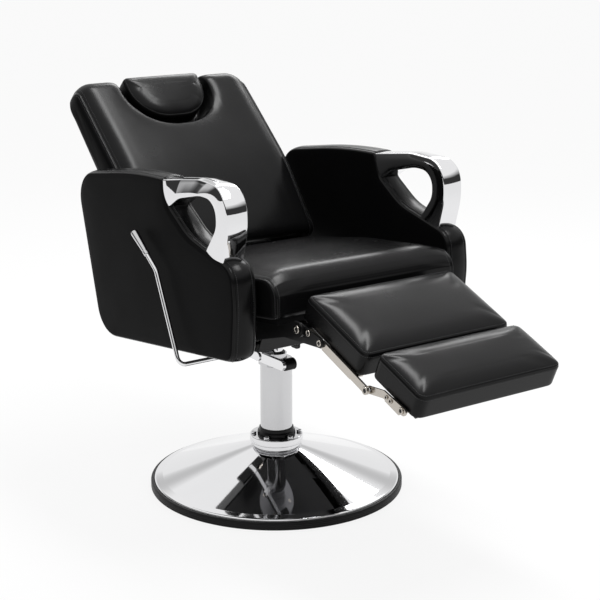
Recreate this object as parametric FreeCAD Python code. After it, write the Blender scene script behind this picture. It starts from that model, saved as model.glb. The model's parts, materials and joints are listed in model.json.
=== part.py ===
"""Reclining barber chair on a round pump base, in millimetres.

The floor is Z = 0, the pump's axis is the Z axis and the sitter looks along -Y.
It is modelled as it stands fully reclined, with the legrest out.
"""
import math
import os

import FreeCAD
import Part

Vector = FreeCAD.Vector

# Clearances shared by all pieces
RUNNING_FIT = 0.05
SEAT_GAP = 0.1
SOFT_GAP = 0.3
SIDE_PLAY = 0.5

# Sections of the padded forms
EDGE_ANGLES = (0, 30, 60, 90)
MIDDLE_SHARES = (0.7, 0.35)
LEAST_ROUND_SHARE = 0.15
PAD_SINK = 2.0

# Dish, rubber ring and floor plate
BASE_RADIUS = 300.0
RING_WALL = 8.0
RING_FOOT = 22.0
RING_SHELF = 8.0
RING_HEIGHT = 19.0
RING_GROOVE = 1.5
RING_ROUND = 2.5
DISH_WALL = 3.0
DISH_ROLL = 5.0
DISH_RIM_TOP = 23.0
DISH_LIP_WIDTH = 20.0
DISH_LIP_RISE = 4.0
DISH_TOP_RADIUS = 60.0
DISH_TOP = 96.0

# Pump
COLUMN_RADIUS = 38.0
COLUMN_WALL = 7.0
COLUMN_FLOOR = 10.0
COLUMN_TOP = 298.0
FLANGE_RADIUS = 65.0
FLANGE_STEP = 3.0
FLANGE_STEP_INSET = 8.0
FLANGE_THICKNESS = 12.0
FLANGE_EDGE = 1.5
FLANGE_COLLAR_WALL = 6.0
FLANGE_COLLAR_HEIGHT = 10.0
FLANGE_COLLAR_TAPER = 12.0
FLANGE_BOLTS = 6
BOLT_CIRCLE = 53.0
BOLT_RADIUS = 3.5
BOLT_HEAD_RADIUS = 6.0
BOLT_HEAD = 5.0
BACKING_RING = 6.0
RAM_RADIUS = 16.0
RAM_FOOT = 30.0
RAM_TOP = 384.0
PISTON_HEIGHT = 16.0
HEAD_SKIRT = 12.0
HEAD_CAP = 12.0
HEAD_BOSS_WALL = 9.0
HEAD_BOSS_TOP = 324.0
WIPER_HEIGHT = 3.0
WIPER_WALL = 5.0

# Pump pedal
PEDAL_PIVOT_Z = 322.0
PEDAL_GAP = 5.0
PEDAL_THICKNESS = 9.0
PEDAL_DEPTH = 22.0
PEDAL_FRONT = 102.0
PEDAL_REAR = 150.0
PEDAL_PIN_RADIUS = 7.0
PEDAL_PIN_HEAD = 10.5
PEDAL_PIN_INNER_X = -26.0
PEDAL_LUG_WIDTH = 30.0
PEDAL_WASHER = 3.0
TOE_RADIUS = 14.0
TOE_LENGTH = 28.0
TOE_ROUND = 2.0
FOOT_PAD_LENGTH = 62.0
FOOT_PAD_WIDTH = 80.0
FOOT_PAD_THICKNESS = 14.0
FOOT_PAD_ROUND = 3.5

# Swivel and seat frame
WASHER_THICKNESS = 3.0
HUB_RADIUS = 34.0
HUB_BOTTOM = 345.0
HUB_FLANGE_RADIUS = 70.0
HUB_FLANGE = 9.0
MOUNT_BOTTOM = 395.0
MOUNT_PLATE = 6.0
MOUNT_FRONT = -118.0
MOUNT_REAR = 140.0
MOUNT_BOLTS = 4
MOUNT_BOLT_CIRCLE = 54.0
MOUNT_BOLT_RADIUS = 5.0
MOUNT_BOLT_HEAD_RADIUS = 9.0
MOUNT_BOLT_HEAD = 4.0
MOUNT_BOLT_TURN = 45.0
SIDE_PLATE_INSET = 20.0
SIDE_PLATE = 6.0
SIDE_PLATE_FRONT = -195.0
SIDE_PLATE_HEEL = 30.0
EAR_RADIUS = 14.0
EAR_ROUND_SHARE = 0.96
EAR_DROP = 22.5
TUBE_PROUD = 3.0
APRON_INSET = 36.0
APRON_TOP = 438.0
APRON_SHEET = 3.0
APRON_RAKE = 19.0
TIE_BAR_WIDTH = 12.0
TIE_BAR_HEIGHT = 8.0

# Seat, tilted down to the back
SEAT_TILT = 6.8
SEAT_BOTTOM = 475.0
SEAT_HALF_WIDTH = 247.0
SEAT_FRONT = -357.0
SEAT_FRONT_RAKE = 11.0
SEAT_REAR = 133.0
SEAT_REAR_RAKE = 6.0
SEAT_EDGE_HEIGHT = 93.0
SEAT_CROWN = 12.0
SEAT_CROWN_RADIUS = 900.0
SEAT_NOSE = 46.0
SEAT_FOOT_ROUND = 14.0
SEAT_REAR_DROP = 3.0
SEAT_REAR_ROUND = 26.0
SEAT_ROUND = 9.0
SEAT_DRAW = 3.0
BOARD = 12.0
SEAT_BOARD_INSET = 19.0
SEAT_BOARD_FRONT = -332.0
SEAT_BOARD_REAR = 92.0

# Arms
ARM_GAP = 12.0
ARM_THICKNESS = 63.0
ARM_ROUND = 9.0
CHROME_INSET_INNER = 6.0
CHROME_INSET_OUTER = 4.0
CHROME_ROUND = 3.0
CORE_INSET = 14.0
CORE_DEPTH = 12.0
CORE = 16.0
BRACKET_FRONT = -150.0
BRACKET_REAR = 40.0
BRACKET_WIDTH = 50.0
BRACKET_SHEET = 5.0
BRACKET_TOP = 450.0
BRACKET_BOTTOM = 414.0
ARM_BOLT_RADIUS = 4.0
ARM_BOLT_HEAD_RADIUS = 7.2
ARM_BOLT_HEAD = 3.0
ARM_BOLT_PITCH = 26.0

# Side panel and chrome loop from the side: Y, Z and corner radius
ARM_OUTLINE = [
    (-33.0, 776.0, 6.0),
    (90.0, 774.0, 500.0),
    (360.0, 733.0, 54.0),
    (259.0, 362.0, 45.0),
    (-299.0, 427.0, 32.0),
    (-319.0, 545.0, 150.0),
    (-303.0, 624.0, 46.0),
    (-126.0, 658.0, 60.0),
    (-55.0, 719.0, 3.0),
]
CHROME_OUTLINE = [
    (-33.0, 776.0, 0.0),
    (-150.0, 797.0, 200.0),
    (-285.0, 787.0, 64.0),
    (-266.0, 628.0, 0.0),
    (-206.0, 641.0, 0.0),
    (-251.0, 700.0, 50.0),
    (-249.0, 769.0, 36.0),
    (-163.0, 773.0, 90.0),
    (-55.0, 719.0, 0.0),
]

# Recline pivot and the back
RECLINE_Y = 190.0
RECLINE_Z = 520.0
RECLINE_ANGLE = 44.0
RECLINE_TRAVEL = 35.0
RECLINE_TUBE = 9.0
BACK_BOTTOM = 24.0
BACK_TOE = 4.0
BACK_TOP = 519.0
BACK_REAR = -25.0
BACK_FOOT_FRONT = 46.0
BACK_LUMBAR_HEIGHT = 215.0
BACK_LUMBAR_FRONT = 76.0
BACK_HEAD_FRONT = 57.0
BACK_ROUND = 10.0
BACK_CROWN = 5.0
BACK_FOOT_ROUND = 12.0
BACK_NOSE = 24.0
BACK_LUMBAR_RADIUS = 500.0
BACK_HEAD_ROUND = 36.0
BACK_PANEL = 15.0
BACK_PANEL_INSET = 8.0
BACK_PANEL_CORNER = 24.0
HINGE_ARM_INSET = 28.0
HINGE_ARM = 6.0
HINGE_STRAP_WIDTH = 30.0
HINGE_STRAP_LENGTH = 160.0
HINGE_RING = 12.5

# Headrest in its notch
NOTCH_HALF_WIDTH = 124.0
NOTCH_BOTTOM = 369.0
NOTCH_CORNER = 56.0
NOTCH_BACK = -8.0
HEADREST_HALF_WIDTH = 105.0
HEADREST_BOTTOM = 402.0
HEADREST_TOP = 512.0
HEADREST_FRONT = 66.0
HEADREST_CORNER = 52.0
HEADREST_ROUND = 20.0
HEADREST_STATIONS = ((0.0, 3.0), (0.1, 0.0), (0.55, 0.0), (0.8, 4.0), (0.94, 12.0), (1.0, 24.0))
HEADREST_BOARD = 9.0
HEADREST_BOARD_MARGIN = 16.0
POST_HALF_WIDTH = 16.0
POST = 7.0
POST_REAR = -7.0
POST_BOTTOM = 235.0
POST_TOP = 480.0
SOCKET_WALL = 3.5
SOCKET_BOTTOM = 228.0
SOCKET_TOP = 366.0
SOCKET_FOOT_HALF_WIDTH = 12.0
SOCKET_FOOT_INSET = 25.0

# Linkage below the seat
BACK_CRANK = 88.0
CRANK_INSET = 62.0
CRANK_SHEET = 6.0
CRANK_WIDTH = 20.0
CRANK_PIN = 6.0
LINK_SHEET = 6.0
LINK_WIDTH = 14.0
LINK_EYE_WALL = 6.0
LINK_PLAY = 5.0
GAS_CRANK = 100.0
GAS_PIN = 5.5
GAS_LUG_X = 10.0
GAS_LUG_SHEET = 5.0
GAS_LUG_WIDTH = 18.0
GAS_EYE_WIDTH = 16.0
GAS_EYE_PLAY = 3.5
GAS_EYE_WALL = 5.0
GAS_CYLINDER_RADIUS = 12.0
GAS_CYLINDER_FRONT = -104.0
GAS_CYLINDER_REAR = 72.0
GAS_ROD_RADIUS = 5.0
GAS_ROD_FRONT = -70.0
GAS_BORE_FRONT = -78.0
ANCHOR_FRONT = -90.0
ANCHOR_LENGTH = 32.0
ANCHOR_HALF_WIDTH = 18.0
ANCHOR_WALL = 5.0

# Release lever on the sitter's right
LEVER_Y = -128.0
LEVER_Z = 386.0
LEVER_STANDOFF = 23.0
LEVER_RADIUS = 5.0
LEVER_BEND = (87.0, 193.0)
LEVER_INNER_X = 9.0
LEVER_CORNER = 16.0
LEVER_BEND_RADIUS = 22.0
GRIP_BACK = (122.0, 220.0)
GRIP_TOP = (178.0, 262.0)
GRIP_RADIUS = 6.5
GRIP_END_RADIUS = 9.0
GRIP_ROUND = 2.2
GRIP_ENTRY = 0.4
LEVER_BUSH_WALL = 4.0
LEVER_BUSH_LENGTH = 20.0
LEVER_TAB = 30.0
LEVER_TAB_ROUND = 7.5
INNER_HANGER_X = -40.0
FINGER_WIDTH = 10.0
TAPPET_RADIUS = 3.0
TAPPET_GAP = 1.2
TAPPET_DEPTH = 14.0

# Legrest and footrest, both in the legrest's own slope
LEGREST_Y = -382.0
LEGREST_Z = 503.0
LEGREST_SLOPE = 22.5
LEGREST_TRAVEL = 64.0
LEGREST_TUBE = 7.0
LEGREST_SIDE_GAP = 3.5
LEGREST_START = -13.0
LEGREST_END = 186.0
LEGREST_BOTTOM = 10.0
LEGREST_EDGE_HEIGHT = 50.0
LEGREST_CROWN = 4.0
PAD_ROUND = 8.0
PAD_CORNER = 15.0
PAD_DRAW = 2.0
PAD_FOOT_ROUND = 8.0
PAD_SWELL = 2.0
PAD_CROWN_RADIUS = 400.0
PAD_BOARD = 10.0
PAD_BOARD_INSET = 14.0
LEG_BOARD_START = 20.0
ARM_SHEET = 4.5
ARM_WIDTH = 20.0
BAR_WIDTH = 17.0
BAR_FLANGE = 34.0
BAR_FLANGE_SHEET = 3.0
BAR_FLANGE_START = 72.0
RIVETS = ((26.0, 7.6), (65.0, 9.7))
RIVET_RADIUS = 4.0
RIVET_HEAD_RADIUS = 7.0
RIVET_HEAD = 3.0
FOLD_PIVOT = (222.4, 6.7)
FOLD_PIN = 5.0
FOLD_PIN_HEAD = 8.0
FOLD_SPACER = 3.5
FOOTREST_SIDE_GAP = 6.0
FOOTREST_START = 224.0
FOOTREST_END = 354.0
FOOTREST_BOTTOM = 30.0
FOOTREST_EDGE_HEIGHT = 48.0
FOOTREST_CROWN = 3.0
FOOT_BRACKET_SHEET = 4.0
FOOT_BRACKET_KNEE = (264.0, 27.0)
FOOT_BRACKET_END = (326.0, 31.0)
FOOT_BRACKET_WIDTH = 16.0
FOOT_RIVETS = (0.16, 0.38, 0.92)
FOOT_RIVET_RADIUS = 2.5
FOOT_RIVET_HEAD_RADIUS = 5.0
FOOT_RIVET_HEAD = 2.5


class Slope:
    """A tilted plane of sections: two unit directions in Y and Z from an origin."""

    def __init__(self, origin, first, second):
        self.origin = origin
        self.first = first
        self.second = second

    def at(self, along, across):
        """Y and Z of a point given along the first and second directions."""
        y = self.origin[0] + along * self.first[0] + across * self.second[0]
        z = self.origin[1] + along * self.first[1] + across * self.second[1]
        return y, z

    def corners(self, points):
        """Corner list with Y, Z and corner radius from one in the slope's own directions."""
        return [(*self.at(along, across), radius) for along, across, radius in points]


def slope_at(origin, angle_deg, flip=1.0):
    """Slope whose first direction is turned from +Y by the angle; flip turns the second over."""
    turn = math.radians(angle_deg)
    first = (math.cos(turn), math.sin(turn))
    return Slope(origin, first, (-flip * first[1], flip * first[0]))


LEVEL = slope_at((0.0, 0.0), 0.0)
SEAT = slope_at((0.0, SEAT_BOTTOM), -SEAT_TILT)
BACK = slope_at((RECLINE_Y, RECLINE_Z), 90.0 - RECLINE_ANGLE)
LEG = slope_at((LEGREST_Y, LEGREST_Z), 180.0 + LEGREST_SLOPE, -1.0)


def swing_down(pivot, length, travel):
    """End of a crank that hangs below a pivot and swings evenly about the vertical."""
    half = math.radians(travel / 2.0)
    return pivot[0] - length * math.sin(half), pivot[1] - length * math.cos(half)


RECLINE = (RECLINE_Y, RECLINE_Z)
LEG_PIVOT = (LEGREST_Y, LEGREST_Z)
LEG_CRANK = BACK_CRANK * math.sin(math.radians(RECLINE_TRAVEL / 2)) / math.sin(
    math.radians(LEGREST_TRAVEL / 2)
)
BACK_CRANK_END = swing_down(RECLINE, BACK_CRANK, RECLINE_TRAVEL)
LEG_CRANK_END = swing_down(LEG_PIVOT, LEG_CRANK, LEGREST_TRAVEL)
GAS_PIN_END = swing_down(RECLINE, GAS_CRANK, RECLINE_TRAVEL)
GAS_ROD_Z = (GAS_PIN_END[1] + RECLINE_Z - GAS_CRANK) / 2.0
MOUNT_TOP = MOUNT_BOTTOM + MOUNT_PLATE
BACK_HALF_WIDTH = SEAT_HALF_WIDTH
ARM_INNER_X = SEAT_HALF_WIDTH + ARM_GAP
ARM_OUTER_X = ARM_INNER_X + ARM_THICKNESS
LEVER_X = -(ARM_OUTER_X + LEVER_STANDOFF)
BRACKET_STATIONS = (BRACKET_FRONT, BRACKET_REAR)
SEAT_BOARD_HALF_WIDTH = SEAT_HALF_WIDTH - SEAT_BOARD_INSET
SIDE_PLATE_X = SEAT_BOARD_HALF_WIDTH - SIDE_PLATE_INSET
APRON_HALF_WIDTH = SIDE_PLATE_X - APRON_INSET
HINGE_ARM_X = SIDE_PLATE_X - HINGE_ARM_INSET
CRANK_X = SIDE_PLATE_X - CRANK_INSET
FLOOR_PLATE_TOP = RING_SHELF
FLANGE_BOTTOM = DISH_TOP + FLANGE_STEP
FLANGE_TOP = FLANGE_BOTTOM + FLANGE_THICKNESS
FLANGE_STACK_BOTTOM = DISH_TOP - DISH_WALL - BACKING_RING
PEDAL_X = -(COLUMN_RADIUS + PEDAL_GAP)
PEDAL_PIVOT = (0.0, PEDAL_PIVOT_Z)
LEVER_AXIS = (LEVER_Y, LEVER_Z)
LEVER_BUSH_RADIUS = LEVER_RADIUS + LEVER_BUSH_WALL
ARM_PLATE_OUTER_X = SIDE_PLATE_X - SIDE_PLAY
BAR_OUTER_X = ARM_PLATE_OUTER_X - ARM_SHEET
BAR_INNER_X = BAR_OUTER_X - ARM_SHEET
LEGREST_HALF_WIDTH = BAR_INNER_X - LEGREST_SIDE_GAP
FOOT_BRACKET_OUTER_X = BAR_INNER_X - FOLD_SPACER
FOOT_BRACKET_INNER_X = FOOT_BRACKET_OUTER_X - FOOT_BRACKET_SHEET
FOOTREST_HALF_WIDTH = FOOT_BRACKET_INNER_X - FOOTREST_SIDE_GAP
FOLD_CENTRE = LEG.at(*FOLD_PIVOT)


def rounded_wire(corners):
    """Closed wire of lines and tangent arcs through corner points with a radius each."""
    edges = []
    count = len(corners)
    cuts = []
    for i, (point, radius) in enumerate(corners):
        to_last = (corners[i - 1][0] - point).normalize()
        to_next = (corners[(i + 1) % count][0] - point).normalize()
        if radius <= 0.0:
            cuts.append((point, None, point))
            continue
        half = to_last.getAngle(to_next) / 2.0
        middle = (to_last + to_next).normalize()
        reach = radius / math.tan(half)
        bulge = radius / math.sin(half) - radius
        cuts.append((point + to_last * reach, point + middle * bulge, point + to_next * reach))
    for i, (start, middle, end) in enumerate(cuts):
        if middle is not None:
            edges.append(Part.Arc(start, middle, end).toShape())
        edges.append(Part.LineSegment(end, cuts[(i + 1) % count][0]).toShape())
    return Part.Wire(edges)


def side_wire(corners, x):
    """Rounded wire of Y, Z, radius corners on the plane at x."""
    return rounded_wire([(Vector(x, y, z), radius) for y, z, radius in corners])


def plate(corners, x_from, x_to):
    """Flat plate: an outline of Y, Z, radius corners carried along X."""
    face = Part.Face(side_wire(corners, x_from))
    return face.extrude(Vector(x_to - x_from, 0, 0))


def slab(slope, x_from, x_to, along, across, radius=0.0):
    """Plate with four corners between two limits in each of a slope's directions."""
    points = [
        (along[0], across[0], radius),
        (along[1], across[0], radius),
        (along[1], across[1], radius),
        (along[0], across[1], radius),
    ]
    return plate(slope.corners(points), x_from, x_to)


def block(x, y, z):
    """Box between two limits in each of X, Y and Z."""
    return Part.makeBox(x[1] - x[0], y[1] - y[0], z[1] - z[0], Vector(x[0], y[0], z[0]))


def rod_x(centre, radius, x_from, x_to):
    """Cylinder along X about a Y, Z centre."""
    return Part.makeCylinder(radius, x_to - x_from, Vector(x_from, *centre), Vector(1, 0, 0))


def rod_y(x, z, radius, y_from, y_to):
    """Cylinder along Y."""
    return Part.makeCylinder(radius, y_to - y_from, Vector(x, y_from, z), Vector(0, 1, 0))


def rod_z(radius, z_from, z_to, x=0.0, y=0.0):
    """Cylinder along Z, on the pump's axis unless moved."""
    return Part.makeCylinder(radius, z_to - z_from, Vector(x, y, z_from))


def ring_x(centre, outer, inner, x_from, x_to):
    """Ring along X about a Y, Z centre."""
    return rod_x(centre, outer, x_from, x_to).cut(rod_x(centre, inner, x_from, x_to))


def ring_z(outer, inner, z_from, z_to):
    """Ring about the pump's axis."""
    return rod_z(outer, z_from, z_to).cut(rod_z(inner, z_from, z_to))


def turned(profile):
    """Solid turned about the pump's axis from radius, height, corner radius points."""
    face = Part.Face(rounded_wire([(Vector(r, 0, z), corner) for r, z, corner in profile]))
    return face.revolve(Vector(0, 0, 0), Vector(0, 0, 1), 360)


def mirrored(shape):
    """The same piece on the other side of the chair."""
    return shape.mirror(Vector(0, 0, 0), Vector(1, 0, 0))


def pair(shape):
    """A piece and its mirror image as two solids."""
    return Part.makeCompound([shape, mirrored(shape)])


def arm_bar(start, end, width, x_from, x_to):
    """Flat bar with round ends from one Y, Z point to another."""
    angle = math.degrees(math.atan2(end[1] - start[1], end[0] - start[0]))
    length = math.hypot(end[0] - start[0], end[1] - start[1])
    half = width / 2.0
    middle = slab(slope_at(start, angle), x_from, x_to, (0.0, length), (-half, half))
    ends = [rod_x(point, half, x_from, x_to) for point in (start, end)]
    return middle.multiFuse(ends).removeSplitter()


def inset(corners, distance):
    """Outline moved inwards: edges shift along their normals and corner radii follow."""
    count = len(corners)
    doubled_area = 0.0
    for (a, b, _), (next_a, next_b, _) in zip(corners, corners[1:] + corners[:1]):
        doubled_area += a * next_b - next_a * b
    side = math.copysign(1.0, doubled_area)
    moved = []
    for i, (a, b, radius) in enumerate(corners):
        last, after = corners[i - 1], corners[(i + 1) % count]
        into = Vector(a - last[0], b - last[1], 0).normalize()
        out = Vector(after[0] - a, after[1] - b, 0).normalize()
        normal_in = Vector(-into.y, into.x, 0) * side
        normal_out = Vector(-out.y, out.x, 0) * side
        spread = 1.0 + normal_in.dot(normal_out)
        shift = (normal_in + normal_out) * (distance / spread)
        convex = into.cross(out).z * side > 0
        new_radius = radius - distance if convex else radius + distance
        moved.append((a + shift.x, b + shift.y, max(new_radius, LEAST_ROUND_SHARE * radius)))
    return moved


def rounded_stations(half_width, edge):
    """X stations and insets across a pad: quarter rounds at both sides and an even middle."""
    rounds = [math.radians(angle) for angle in EDGE_ANGLES]
    outer = [(half_width - edge * (1 - math.cos(t)), edge * (1 - math.sin(t))) for t in rounds]
    middle = [(share * (half_width - edge), 0.0) for share in MIDDLE_SHARES]
    right = outer + middle
    left = [(-x, depth) for x, depth in right]
    return left + [(0.0, 0.0)] + right[::-1]


def pad(slope, section, half_width, edge, centre_x=0.0):
    """Padded form: a loft across X through rounded sections that swell to the middle.

    section(swell) gives the outline for a swell from 0 at the sides to 1 in the middle.
    """
    wires = []
    for x, depth in rounded_stations(half_width, edge):
        swell = 1.0 - (x / half_width) ** 2
        corners = inset(section(swell), depth)
        wires.append(side_wire(slope.corners(corners), centre_x + x))
    return Part.makeLoft(wires, True, False)


def flat_pad(slope, section, half_width, edge, seat_level):
    """Padded form that lies flat on a board: the sections sink below the board and are trimmed."""
    whole = pad(slope, section, half_width, edge)
    corners = section(1.0)
    along = [corner[0] for corner in corners]
    margin = half_width / 2.0
    limits = (min(along) - margin, max(along) + margin)
    board = slab(slope, -half_width - margin, half_width + margin, limits, (seat_level - margin, seat_level))
    return whole.cut(board)


def base_trim_ring():
    """Rubber ring: a foot, a wall outside the dish and a groove round the wall."""
    inner_wall = BASE_RADIUS - RING_WALL
    middle = RING_HEIGHT / 2.0
    return turned([
        (BASE_RADIUS - RING_FOOT, 0.0, 0.0),
        (BASE_RADIUS, 0.0, RING_GROOVE),
        (BASE_RADIUS, middle - RING_GROOVE, 0.0),
        (BASE_RADIUS - RING_GROOVE, middle, 0.0),
        (BASE_RADIUS, middle + RING_GROOVE, 0.0),
        (BASE_RADIUS, RING_HEIGHT, RING_ROUND),
        (inner_wall, RING_HEIGHT, RING_GROOVE),
        (inner_wall, RING_SHELF, 0.0),
        (BASE_RADIUS - RING_FOOT, RING_SHELF, 0.0),
    ])


def base_dish():
    """Spun dish: skirt, rolled rim, lip and a straight cone up to the flange."""
    skirt = BASE_RADIUS - RING_WALL - SEAT_GAP
    lip = skirt - DISH_LIP_WIDTH
    lip_top = DISH_RIM_TOP + DISH_LIP_RISE
    hole = COLUMN_RADIUS + SEAT_GAP
    return turned([
        (skirt, RING_SHELF, 0.0),
        (skirt, DISH_RIM_TOP, DISH_ROLL),
        (lip, lip_top, 0.0),
        (DISH_TOP_RADIUS, DISH_TOP, 0.0),
        (hole, DISH_TOP, 0.0),
        (hole, DISH_TOP - DISH_WALL, 0.0),
        (DISH_TOP_RADIUS, DISH_TOP - DISH_WALL, 0.0),
        (lip, lip_top - DISH_WALL, 0.0),
        (skirt - DISH_WALL, DISH_RIM_TOP - DISH_WALL, 0.0),
        (skirt - DISH_WALL, RING_SHELF, 0.0),
    ])


def base_floor_plate():
    """Weight plate inside the rubber ring, flush with the floor."""
    return rod_z(BASE_RADIUS - RING_FOOT - SEAT_GAP, 0.0, FLOOR_PLATE_TOP)


def bolt_places(circle, count, start_deg=0.0):
    """X and Y of evenly spaced bolts."""
    angles = [math.radians(start_deg + 360.0 * i / count) for i in range(count)]
    return [(circle * math.cos(t), circle * math.sin(t)) for t in angles]


def drilled(shape, places, radius, z_from, z_to):
    """Shape with a hole along Z at each place."""
    holes = [rod_z(radius, z_from, z_to, x, y) for x, y in places]
    return shape.cut(Part.makeCompound(holes))


def through_flange(shape):
    """Shape with the flange bolts' holes."""
    places = bolt_places(BOLT_CIRCLE, FLANGE_BOLTS)
    return drilled(shape, places, BOLT_RADIUS + SEAT_GAP, FLANGE_STACK_BOTTOM, FLANGE_TOP)


def flange_backing_ring():
    """Tapped ring below the dish's flat top."""
    ring = ring_z(DISH_TOP_RADIUS, COLUMN_RADIUS + SEAT_GAP, FLANGE_STACK_BOTTOM, DISH_TOP - DISH_WALL)
    return through_flange(ring)


def pump_flange():
    """Stepped flange with a collar that tapers to the column."""
    bore = COLUMN_RADIUS + SEAT_GAP
    collar = COLUMN_RADIUS + FLANGE_COLLAR_WALL
    collar_top = FLANGE_TOP + FLANGE_COLLAR_HEIGHT
    flange = turned([
        (bore, DISH_TOP, 0.0),
        (FLANGE_RADIUS - FLANGE_STEP_INSET, DISH_TOP, 0.0),
        (FLANGE_RADIUS - FLANGE_STEP_INSET, FLANGE_BOTTOM, 0.0),
        (FLANGE_RADIUS, FLANGE_BOTTOM, FLANGE_EDGE),
        (FLANGE_RADIUS, FLANGE_TOP, FLANGE_EDGE),
        (collar, FLANGE_TOP, 0.0),
        (collar, collar_top, 0.0),
        (bore + FLANGE_EDGE, collar_top + FLANGE_COLLAR_TAPER, 0.0),
        (bore, collar_top + FLANGE_COLLAR_TAPER, 0.0),
    ])
    return through_flange(flange)


def flange_bolts():
    """Round-headed bolts through flange, dish and backing ring."""
    bolts = []
    for x, y in bolt_places(BOLT_CIRCLE, FLANGE_BOLTS):
        shank = rod_z(BOLT_RADIUS, FLANGE_STACK_BOTTOM, FLANGE_TOP, x, y)
        head = rod_z(BOLT_HEAD_RADIUS, FLANGE_TOP, FLANGE_TOP + BOLT_HEAD, x, y)
        bolts.append(shank.fuse(head))
    return Part.makeCompound(bolts)


def pump_cylinder():
    """Column with a closed foot that stands on the floor plate."""
    bore = rod_z(COLUMN_RADIUS - COLUMN_WALL, FLOOR_PLATE_TOP + COLUMN_FLOOR, COLUMN_TOP)
    return rod_z(COLUMN_RADIUS, FLOOR_PLATE_TOP, COLUMN_TOP).cut(bore)


def pump_head():
    """Head that plugs into the column, guides the ram and carries the pedal's lug."""
    plug = rod_z(COLUMN_RADIUS - COLUMN_WALL - SEAT_GAP, COLUMN_TOP - HEAD_SKIRT, COLUMN_TOP)
    cap = rod_z(COLUMN_RADIUS, COLUMN_TOP, COLUMN_TOP + HEAD_CAP)
    boss = rod_z(RAM_RADIUS + HEAD_BOSS_WALL, COLUMN_TOP, HEAD_BOSS_TOP)
    half = PEDAL_LUG_WIDTH / 2.0
    lug = block((PEDAL_X + PEDAL_WASHER, -RAM_RADIUS), (-half, half), (COLUMN_TOP, PEDAL_PIVOT_Z))
    lug_top = rod_x(PEDAL_PIVOT, half, PEDAL_X + PEDAL_WASHER, -RAM_RADIUS)
    guide = rod_z(RAM_RADIUS + RUNNING_FIT, COLUMN_TOP - HEAD_SKIRT, PEDAL_PIVOT_Z + PEDAL_LUG_WIDTH)
    pin_hole = rod_x(PEDAL_PIVOT, PEDAL_PIN_RADIUS + SEAT_GAP, PEDAL_X, PEDAL_PIN_INNER_X)
    wiper = rod_z(RAM_RADIUS + WIPER_WALL + SEAT_GAP, HEAD_BOSS_TOP, PEDAL_PIVOT_Z + PEDAL_LUG_WIDTH)
    head = plug.multiFuse([cap, boss, lug, lug_top])
    return head.cut(guide).cut(pin_hole).cut(wiper)


def ram_wiper_seal():
    """Seal that wipes the ram on top of the head."""
    outer = RAM_RADIUS + WIPER_WALL
    return ring_z(outer, RAM_RADIUS + RUNNING_FIT, HEAD_BOSS_TOP, HEAD_BOSS_TOP + WIPER_HEIGHT)


def pedal_pivot_pin():
    """Pin in the head's lug, with a head outside the pedal."""
    pedal_outer = PEDAL_X - PEDAL_THICKNESS - SIDE_PLAY
    pin = rod_x(PEDAL_PIVOT, PEDAL_PIN_RADIUS, pedal_outer, PEDAL_PIN_INNER_X)
    head = rod_x(PEDAL_PIVOT, PEDAL_PIN_HEAD, pedal_outer - PEDAL_WASHER, pedal_outer)
    washer = rod_x(PEDAL_PIVOT, PEDAL_PIN_HEAD, PEDAL_X + SIDE_PLAY, PEDAL_X + PEDAL_WASHER)
    return pin.fuse(head).fuse(washer)


def ram_shaft():
    """Ram that lifts the seat."""
    return rod_z(RAM_RADIUS, RAM_FOOT, RAM_TOP)


def ram_piston():
    """Piston ring on the ram's foot, running in the column."""
    outer = COLUMN_RADIUS - COLUMN_WALL - RUNNING_FIT
    return ring_z(outer, RAM_RADIUS + SEAT_GAP, RAM_FOOT, RAM_FOOT + PISTON_HEIGHT)


def swivel_thrust_washer():
    """Bearing disc on top of the ram."""
    return rod_z(RAM_RADIUS - SIDE_PLAY, RAM_TOP, RAM_TOP + WASHER_THICKNESS)


def pump_pedal():
    """Flat rocker bar beside the column."""
    half = PEDAL_DEPTH / 2.0
    front = (half - PEDAL_FRONT, PEDAL_PIVOT_Z)
    rear = (PEDAL_REAR, PEDAL_PIVOT_Z)
    bar = arm_bar(front, rear, PEDAL_DEPTH, PEDAL_X - PEDAL_THICKNESS, PEDAL_X)
    hole = rod_x(PEDAL_PIVOT, PEDAL_PIN_RADIUS + RUNNING_FIT, PEDAL_X - PEDAL_THICKNESS, PEDAL_X)
    return bar.cut(hole)


def pedal_toe_roller():
    """Rubber toe block on the front end of the bar."""
    centre = (PEDAL_DEPTH / 2.0 - PEDAL_FRONT, PEDAL_PIVOT_Z)
    roller = rod_x(centre, TOE_RADIUS, PEDAL_X, PEDAL_X + TOE_LENGTH)
    return roller.makeFillet(TOE_ROUND, roller.Edges)


def pedal_foot_pad():
    """Ribbed rubber tread on the rear end of the bar."""
    middle = PEDAL_X - PEDAL_THICKNESS / 2.0
    bottom = PEDAL_PIVOT_Z + PEDAL_DEPTH / 2.0
    rear = PEDAL_REAR + FOOT_PAD_LENGTH / 2.0
    along = (rear - FOOT_PAD_LENGTH, rear)
    across = (bottom, bottom + FOOT_PAD_THICKNESS)
    half = FOOT_PAD_WIDTH / 2.0
    return slab(LEVEL, middle - half, middle + half, along, across, FOOT_PAD_ROUND)


def swivel_hub():
    """Hub that turns on the ram, with a flange for the mount plate."""
    hub = rod_z(HUB_RADIUS, HUB_BOTTOM, MOUNT_BOTTOM)
    flange = rod_z(HUB_FLANGE_RADIUS, MOUNT_BOTTOM - HUB_FLANGE, MOUNT_BOTTOM)
    bore_top = RAM_TOP + WASHER_THICKNESS + SOFT_GAP
    bore = rod_z(RAM_RADIUS + RUNNING_FIT, HUB_BOTTOM, bore_top)
    return through_mount(hub.fuse(flange).cut(bore))


def through_mount(shape):
    """Shape with the mount bolts' holes."""
    places = bolt_places(MOUNT_BOLT_CIRCLE, MOUNT_BOLTS, MOUNT_BOLT_TURN)
    return drilled(shape, places, MOUNT_BOLT_RADIUS + SEAT_GAP, MOUNT_BOTTOM - HUB_FLANGE, MOUNT_TOP)


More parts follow.
